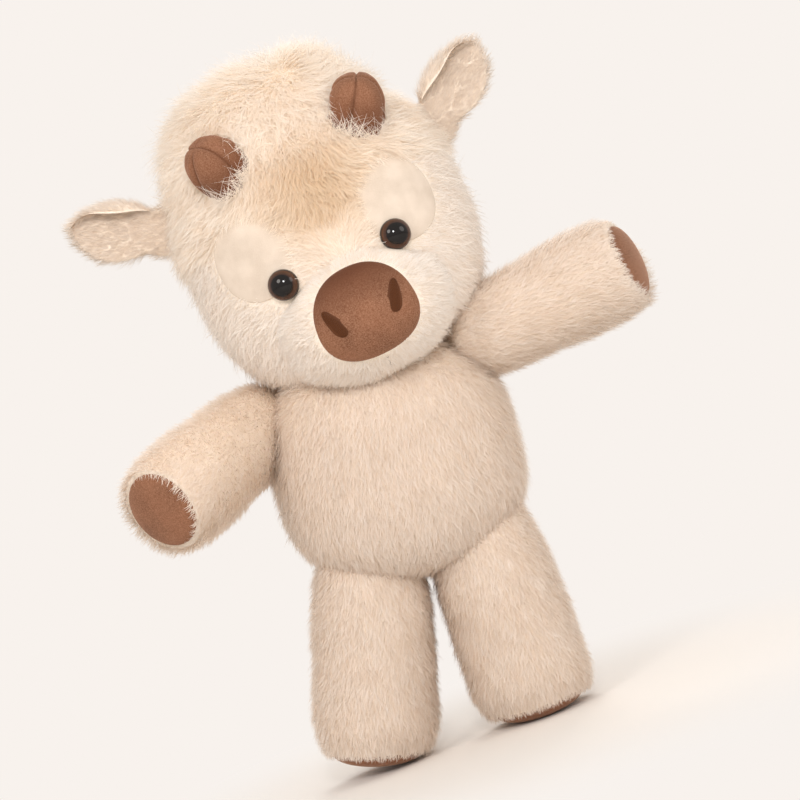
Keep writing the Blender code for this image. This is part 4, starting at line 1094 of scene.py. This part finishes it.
def smooth_pile_material(name, colour, light, shade):
    """Minky: a dense pile of 1.5 mm, brushed one way, so that light lies on it in slow streaks."""
    material, tree, shader = new_material(name)
    place = add(tree, "ShaderNodeTexCoord").outputs["Object"]
    slow = add(tree, "ShaderNodeTexNoise", Vector=place, Scale=1 / (16 * MM), Detail=2.0)
    grain = add(tree, "ShaderNodeTexNoise", Vector=place, Scale=1 / (0.6 * MM), Detail=4.0, Roughness=0.7)
    stroke = add(tree, "ShaderNodeMapRange", _0=slow, _1=0.35, _2=0.65)
    base = add(tree, "ShaderNodeMix", COLOURS, _0=stroke, _6=linear(shade), _7=linear(colour)).outputs[2]
    specks = add(tree, "ShaderNodeMapRange", _0=grain, _1=0.4, _2=0.8, _4=0.6)
    lit = add(tree, "ShaderNodeMix", COLOURS, _0=specks, _6=base, _7=linear(light)).outputs[2]
    bump = add(tree, "ShaderNodeBump", Strength=0.45, Distance=0.3 * MM, Height=grain)
    plug(tree, shader, Base_Color=lit, Normal=bump, Roughness=0.85, Specular_IOR_Level=0.15, Sheen_Weight=0.15,
         Sheen_Roughness=0.4)
    return material


def eye_material(name):
    """Glossy black acrylic with a brown ring near its rim, read from how far a point lies from the middle."""
    material, tree, shader = new_material(name)
    rim = add(tree, "ShaderNodeAttribute", {"attribute_name": "rim"}).outputs["Fac"]
    ramp = add(tree, "ShaderNodeValToRGB", _0=rim)
    while len(ramp.color_ramp.elements) < len(EYE_STOPS):
        ramp.color_ramp.elements.new(0.5)
    for element, (place, colour) in zip(ramp.color_ramp.elements, EYE_STOPS):
        element.position = place
        element.color = linear(colour)
    plug(tree, shader, Base_Color=ramp, Roughness=0.04, IOR=1.49, Specular_IOR_Level=0.35)
    return material


minky = smooth_pile_material("short_plush_cream", "DACBBB", "E1D4C7", "CBBBAA")
eye_plastic = eye_material("acrylic_safety_eye")

# %% Patches and eyes
EYE_HALF, EYE_DOME, EYE_LIFT, SHANK_HALF, SHANK_LENGTH = 10.5 * MM, 8.5 * MM, 2.4 * MM, 2.5 * MM, 16 * MM
EYE_SECTION = [Vector((0, -SHANK_LENGTH)), Vector((SHANK_HALF, -SHANK_LENGTH)), Vector((SHANK_HALF, -0.6 * MM)),
               Vector((EYE_HALF * 0.97, -0.6 * MM)), Vector((EYE_HALF, -0.2 * MM))] + dome(EYE_HALF, EYE_DOME, 0, 22)
for (side, sign), patch_spot, eye_spot in zip(SIDES, PATCHES, EYES):
    patch = laid_piece("eye_patch_" + side, head_form, oval(2 * PATCH_HALF[0], 2 * PATCH_HALF[1], 2.2), patch_spot, 0,
                       pillow(0.6 * MM, 1.6 * MM), -1.6 * MM, minky)
    settle(patch, "head", "smooth_pile", "eye_patch_" + side)
    outward = face_normal(head_form, *eye_spot)
    seat = head_form.front(*eye_spot) + outward * EYE_LIFT
    place = HEAD @ Matrix.Translation(seat) @ aim((outward + Vector((0, -0.8, 0))).normalized())
    eye = turned_skin("eye_" + side, place, EYE_SECTION, eye_plastic, 64, False)
    local = in_axes(place, points_of(eye))
    store(eye.data, "rim", np.where(local[:, 2] >= 0, np.linalg.norm(local[:, :2], axis=1) / EYE_HALF, 1.0))
    settle(eye, "head", "eye_plastic", "eye_" + side)

# %% [markdown]
# ## Horns
# A horn is four leaves of velour sewn edge to edge, turned and stuffed. The seams draw in, so each leaf bulges between
# them, and at the tip they pull the cloth into a small pucker.

# %% Horns
HORN_BASE, HORN_LENGTH, HORN_ROOT, HORN_WRINKLE = 19.5 * MM, 31 * MM, 18 * MM, 1.1 * MM
HORN_LEAVES, HORN_AROUND = 4, 96
HORN_PROFILE = ((1, 0), (0.985, 0.32), (0.90, 0.60), (0.70, 0.83), (0.38, 0.965), (0.04, 0.985))


def horn_spot(radius, height, angle, phase):
    """A point of the horn's skin in its own axes, and how near it lies to a seam (1 on it)."""
    tip = max(height / HORN_LENGTH, 0)
    turns = (angle - phase - 0.25 * tip) * HORN_LEAVES / (2 * math.pi)
    off_seam = abs(turns - round(turns)) * 2 * math.pi / HORN_LEAVES
    seam = math.exp(-(off_seam / 0.13) ** 2)
    bulge = 0.035 * math.cos(2 * math.pi * (turns - 0.5)) * (1 - 0.5 * tip)
    drawn = 1 + bulge - (0.09 + 0.14 * tip ** 3) * seam
    spot = Vector((radius * math.cos(angle), radius * math.sin(angle), height))
    ripple = Vector((math.cos(angle) * 2.2, math.sin(angle) * 2.2, height / (9 * MM) + phase))
    wrinkle = HORN_WRINKLE * noise.noise(ripple) if radius > 2 * MM else 0
    reach = (radius * drawn + wrinkle) / max(radius, 1e-6)
    sunk = 1.2 * MM * tip ** 4 * seam
    return Vector((spot.x * reach, spot.y * reach, height - sunk)), math.exp(-(off_seam / 0.05) ** 2)


def horn_skin(name, place, phase):
    mesh = bmesh.new()
    seams = mesh.verts.layers.float.new("seam")
    painted_shades = mesh.verts.layers.float.new("painted_shade")
    rows = [[mesh.verts.new(place @ Vector((0, 0, -HORN_ROOT)))]]
    line = smooth_line([(HORN_BASE * 0.97, -HORN_ROOT)]
                       + [(HORN_BASE * wide, high * HORN_LENGTH) for wide, high in HORN_PROFILE], 7)
    for radius, height in ((p.x, p.y) for p in line):
        row = []
        for i in range(HORN_AROUND):
            spot, seam = horn_spot(radius, height, 2 * math.pi * i / HORN_AROUND, phase)
            row.append(mesh.verts.new(place @ spot))
            # Painted shade: the horn is darker towards its root.
            row[-1][painted_shades] = 0.7 * max(1 - 1.25 * max(height / HORN_LENGTH, 0), 0)
            row[-1][seams] = 0.75 * seam
        rows.append(row)
    rows.append([mesh.verts.new(place @ Vector((0, 0, 0.965 * HORN_LENGTH)))])
    skin_rows(mesh, rows)
    return finish_mesh(name, mesh, velour)


HORN_OUT, HORN_FORWARD = math.radians(22), math.radians(40)
for (side, sign), root, phase in zip(SIDES, HORN_ROOTS, (0.9, 2.2)):
    heading = (sign * math.sin(HORN_OUT), -math.sin(HORN_FORWARD), math.cos(HORN_FORWARD))
    horn = horn_skin("horn_" + side, HEAD @ Matrix.Translation(root) @ aim(heading), phase)
    settle(horn, "head", "brown_velour", "horn_" + side, "horn_stuffing_" + side)

# %% [markdown]
# ## Tail
# The back isn't seen, so the tail is the plainest that such a toy has: a thin tube of the body's fur with a brush of
# the long pile at its end.

# %% Tail
TAIL_LENGTH, TUFT_LENGTH, TUFT_HALF = 34, 26, 10.5
TUFT_CORE = 0.6
TUFT_PROFILE = ((0.0, 0.0), (0.55, 0.02), (0.85, 0.18), (1.0, 0.40), (0.85, 0.65), (0.45, 0.88), (0.0, 1.0))
back = -torso_form.front(0, -18 * MM).y
TAIL = (TORSO @ Matrix.Translation((0, back + 6 * MM, -18 * MM)) @ turn(-4, "Y")
        @ Matrix.Rotation(math.pi, 4, "X"))
line = [Vector((7.5 * MM * math.sin(a), -7.5 * MM * math.cos(a))) for a in np.linspace(0, math.pi / 2, 8)]
line += [Vector((5.5 * MM, h * MM)) for h in (7.5, 14, 21, 28, TAIL_LENGTH)] + [Vector((0, TAIL_LENGTH * MM))]
tail = turned_skin("tail", TAIL, line, backing, 32, False)
spots = points_of(tail)
trim = np.where(inside(torso_form, spots, 1 * MM), 0.0, 1.0)
comb_skin(tail, np.tile(axis_of(TAIL), (len(spots), 1)) + swirl(spots, 15 * MM, 0.3), trim)
tail_coat = grow("tail_coat", tail, body_fur, "tail", per_m2=1200000, length=7 * MM, seed=50, width=0.5 * MM)
settle(tail, "tail", "fur_fabric", "tail")

# %% Tail tuft
line = [Vector((TUFT_HALF * MM * wide * TUFT_CORE, (TAIL_LENGTH + 0.3 + TUFT_LENGTH * at * TUFT_CORE) * MM))
        for wide, at in TUFT_PROFILE]
tuft = turned_skin("tail_tuft", TAIL, line, backing, 32, False)
spots = points_of(tuft)
comb_skin(tuft, np.tile(axis_of(TAIL), (len(spots), 1)) * 2.0 + swirl(spots, 8 * MM, 0.5), np.ones(len(spots)))
tuft_coat = grow("tail_tuft_coat", tuft, crown_fur, "tail", per_m2=4500000, length=15 * MM, seed=51, width=0.5 * MM,
                 lift=0.5, tuft=3 * MM)
settle(tuft, "tail", "long_fur_fabric", "tail_tuft")

# %% [markdown]
# ## Pieces kept from the CAD
# The closing thread and the eye washers have the right shape already. They get their own materials: waxed polyester
# thread, and the translucent white plastic of safety washers.

# %% Kept pieces
cream_thread = thread_material("polyester_sewing_thread_cream", "E6D6C0", "F4E9DA")
washer_plastic, tree, shader = new_material("polyethylene_washer_white")
cloud = add(tree, "ShaderNodeTexNoise", Vector=add(tree, "ShaderNodeTexCoord").outputs["Object"], Scale=1 / (6 * MM))
milky = add(tree, "ShaderNodeMix", COLOURS, _0=cloud, _6=linear("E9E7E2"), _7=linear("F6F5F2")).outputs[2]
plug(tree, shader, Base_Color=milky, Roughness=0.4, Subsurface_Weight=0.2,
     Subsurface_Radius=(1.0 * MM, 1.0 * MM, 1.0 * MM))
for node, material in (("closing_thread", cream_thread), ("eye_washer_left", washer_plastic),
                       ("eye_washer_right", washer_plastic)):
    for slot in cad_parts[node].material_slots:
        slot.material = material
print("kept from the CAD: closing thread and two washers")

# %% [markdown]
# ## Camera, light and floor
# The toy is tilted in the photo, so the camera is rolled and the toy stands upright. Big soft lamps and a bright world
# give a level at which a colour renders about as it is written. The wall's pale colour is seen by the camera and in
# gloss only, so it adds no light to the toy, and the floor fades into it away from the toy's shadow.

# %% Camera
AIM = Vector((3.7 * MM, 0, 237 * MM))
CAMERA_FAR, CAMERA_ROLL, SENSOR, VIEW_WIDTH = 1.6, -19.6, 36, 0.536
camera = new_object("camera", bpy.data.cameras.new("camera"))
camera.location = AIM + Vector((0, -CAMERA_FAR, 0))
camera.rotation_euler = (Matrix.Rotation(math.pi / 2, 4, "X") @ turn(CAMERA_ROLL, "Z")).to_euler()
camera.data.sensor_width = SENSOR
camera.data.lens = SENSOR * (CAMERA_FAR - 40 * MM) / VIEW_WIDTH
bpy.context.scene.camera = camera
bpy.context.scene.view_settings.view_transform = "Standard"
print("lens:", round(camera.data.lens, 1), "mm")

# %% Light
WALL = linear("F8F2ED")
world = bpy.data.worlds.new("studio")
bpy.context.scene.world = world
world.use_nodes = True
sky = world.node_tree
sky.nodes.clear()
path = add(sky, "ShaderNodeLightPath").outputs
seen = add(sky, "ShaderNodeMath", {"operation": "MAXIMUM"}, _0=path["Is Camera Ray"], _1=path["Is Glossy Ray"])
seen = add(sky, "ShaderNodeMath", {"operation": "MAXIMUM"}, _0=seen, _1=path["Is Transmission Ray"])
fill_light = add(sky, "ShaderNodeBackground", Color=linear("FFFAF6"), Strength=0.74)
plain_wall = add(sky, "ShaderNodeBackground", Color=WALL, Strength=1.0)
mixed = add(sky, "ShaderNodeMixShader", _0=seen, _1=fill_light, _2=plain_wall)
add(sky, "ShaderNodeOutputWorld", _0=mixed)
for name, place, size, power, colour in (("key", (-0.9, -1.7, 1.3), 0.8, 12, "FFF8F2"),
                                         ("side", (1.5, -1.0, 0.8), 0.9, 5.5, "FFFAF6"),
                                         ("back", (0.2, 1.3, 1.5), 0.9, 10, "FFFFFF"),
                                         ("catchlight", (0.05, -1.7, 0.85), 0.32, 10.5, "FFFFFF")):
    lamp = new_object(name, bpy.data.lights.new(name, "AREA"))
    lamp.data.shape = "DISK"
    lamp.data.size = size
    lamp.data.energy = power
    lamp.data.color = linear(colour)[:3]
    lamp.location = place
    lamp.rotation_euler = (Vector(place) - AIM).to_track_quat("Z", "Y").to_euler()

# %% Floor
SHADOW_NEAR, SHADOW_FAR = 0.12, 0.34
mesh = bmesh.new()
bmesh.ops.create_grid(mesh, x_segments=1, y_segments=1, size=3.0)
floor_material, tree, shader = new_material("matt_paper")
plug(tree, shader, Base_Color=linear("E9E5E0"), Roughness=1.0, Specular_IOR_Level=0.0)
place = add(tree, "ShaderNodeTexCoord").outputs["Object"]
far = add(tree, "ShaderNodeVectorMath", {"operation": "LENGTH"}, _0=place).outputs["Value"]
away = add(tree, "ShaderNodeMapRange", {"interpolation_type": "SMOOTHSTEP"}, _0=far, _1=SHADOW_NEAR, _2=SHADOW_FAR)
camera_ray = add(tree, "ShaderNodeLightPath").outputs["Is Camera Ray"]
fade = add(tree, "ShaderNodeMath", TIMES, _0=away, _1=camera_ray)
flat = add(tree, "ShaderNodeEmission", Color=WALL, Strength=1.0)
both = add(tree, "ShaderNodeMixShader", _0=fade, _1=shader, _2=flat)
plug(tree, tree.nodes["Material Output"], Surface=both)
floor = finish_mesh("floor", mesh, floor_material)

# %% Clearing the helper shapes
for thing in strands + [thread_piece]:
    bpy.data.objects.remove(thing, do_unlink=True)
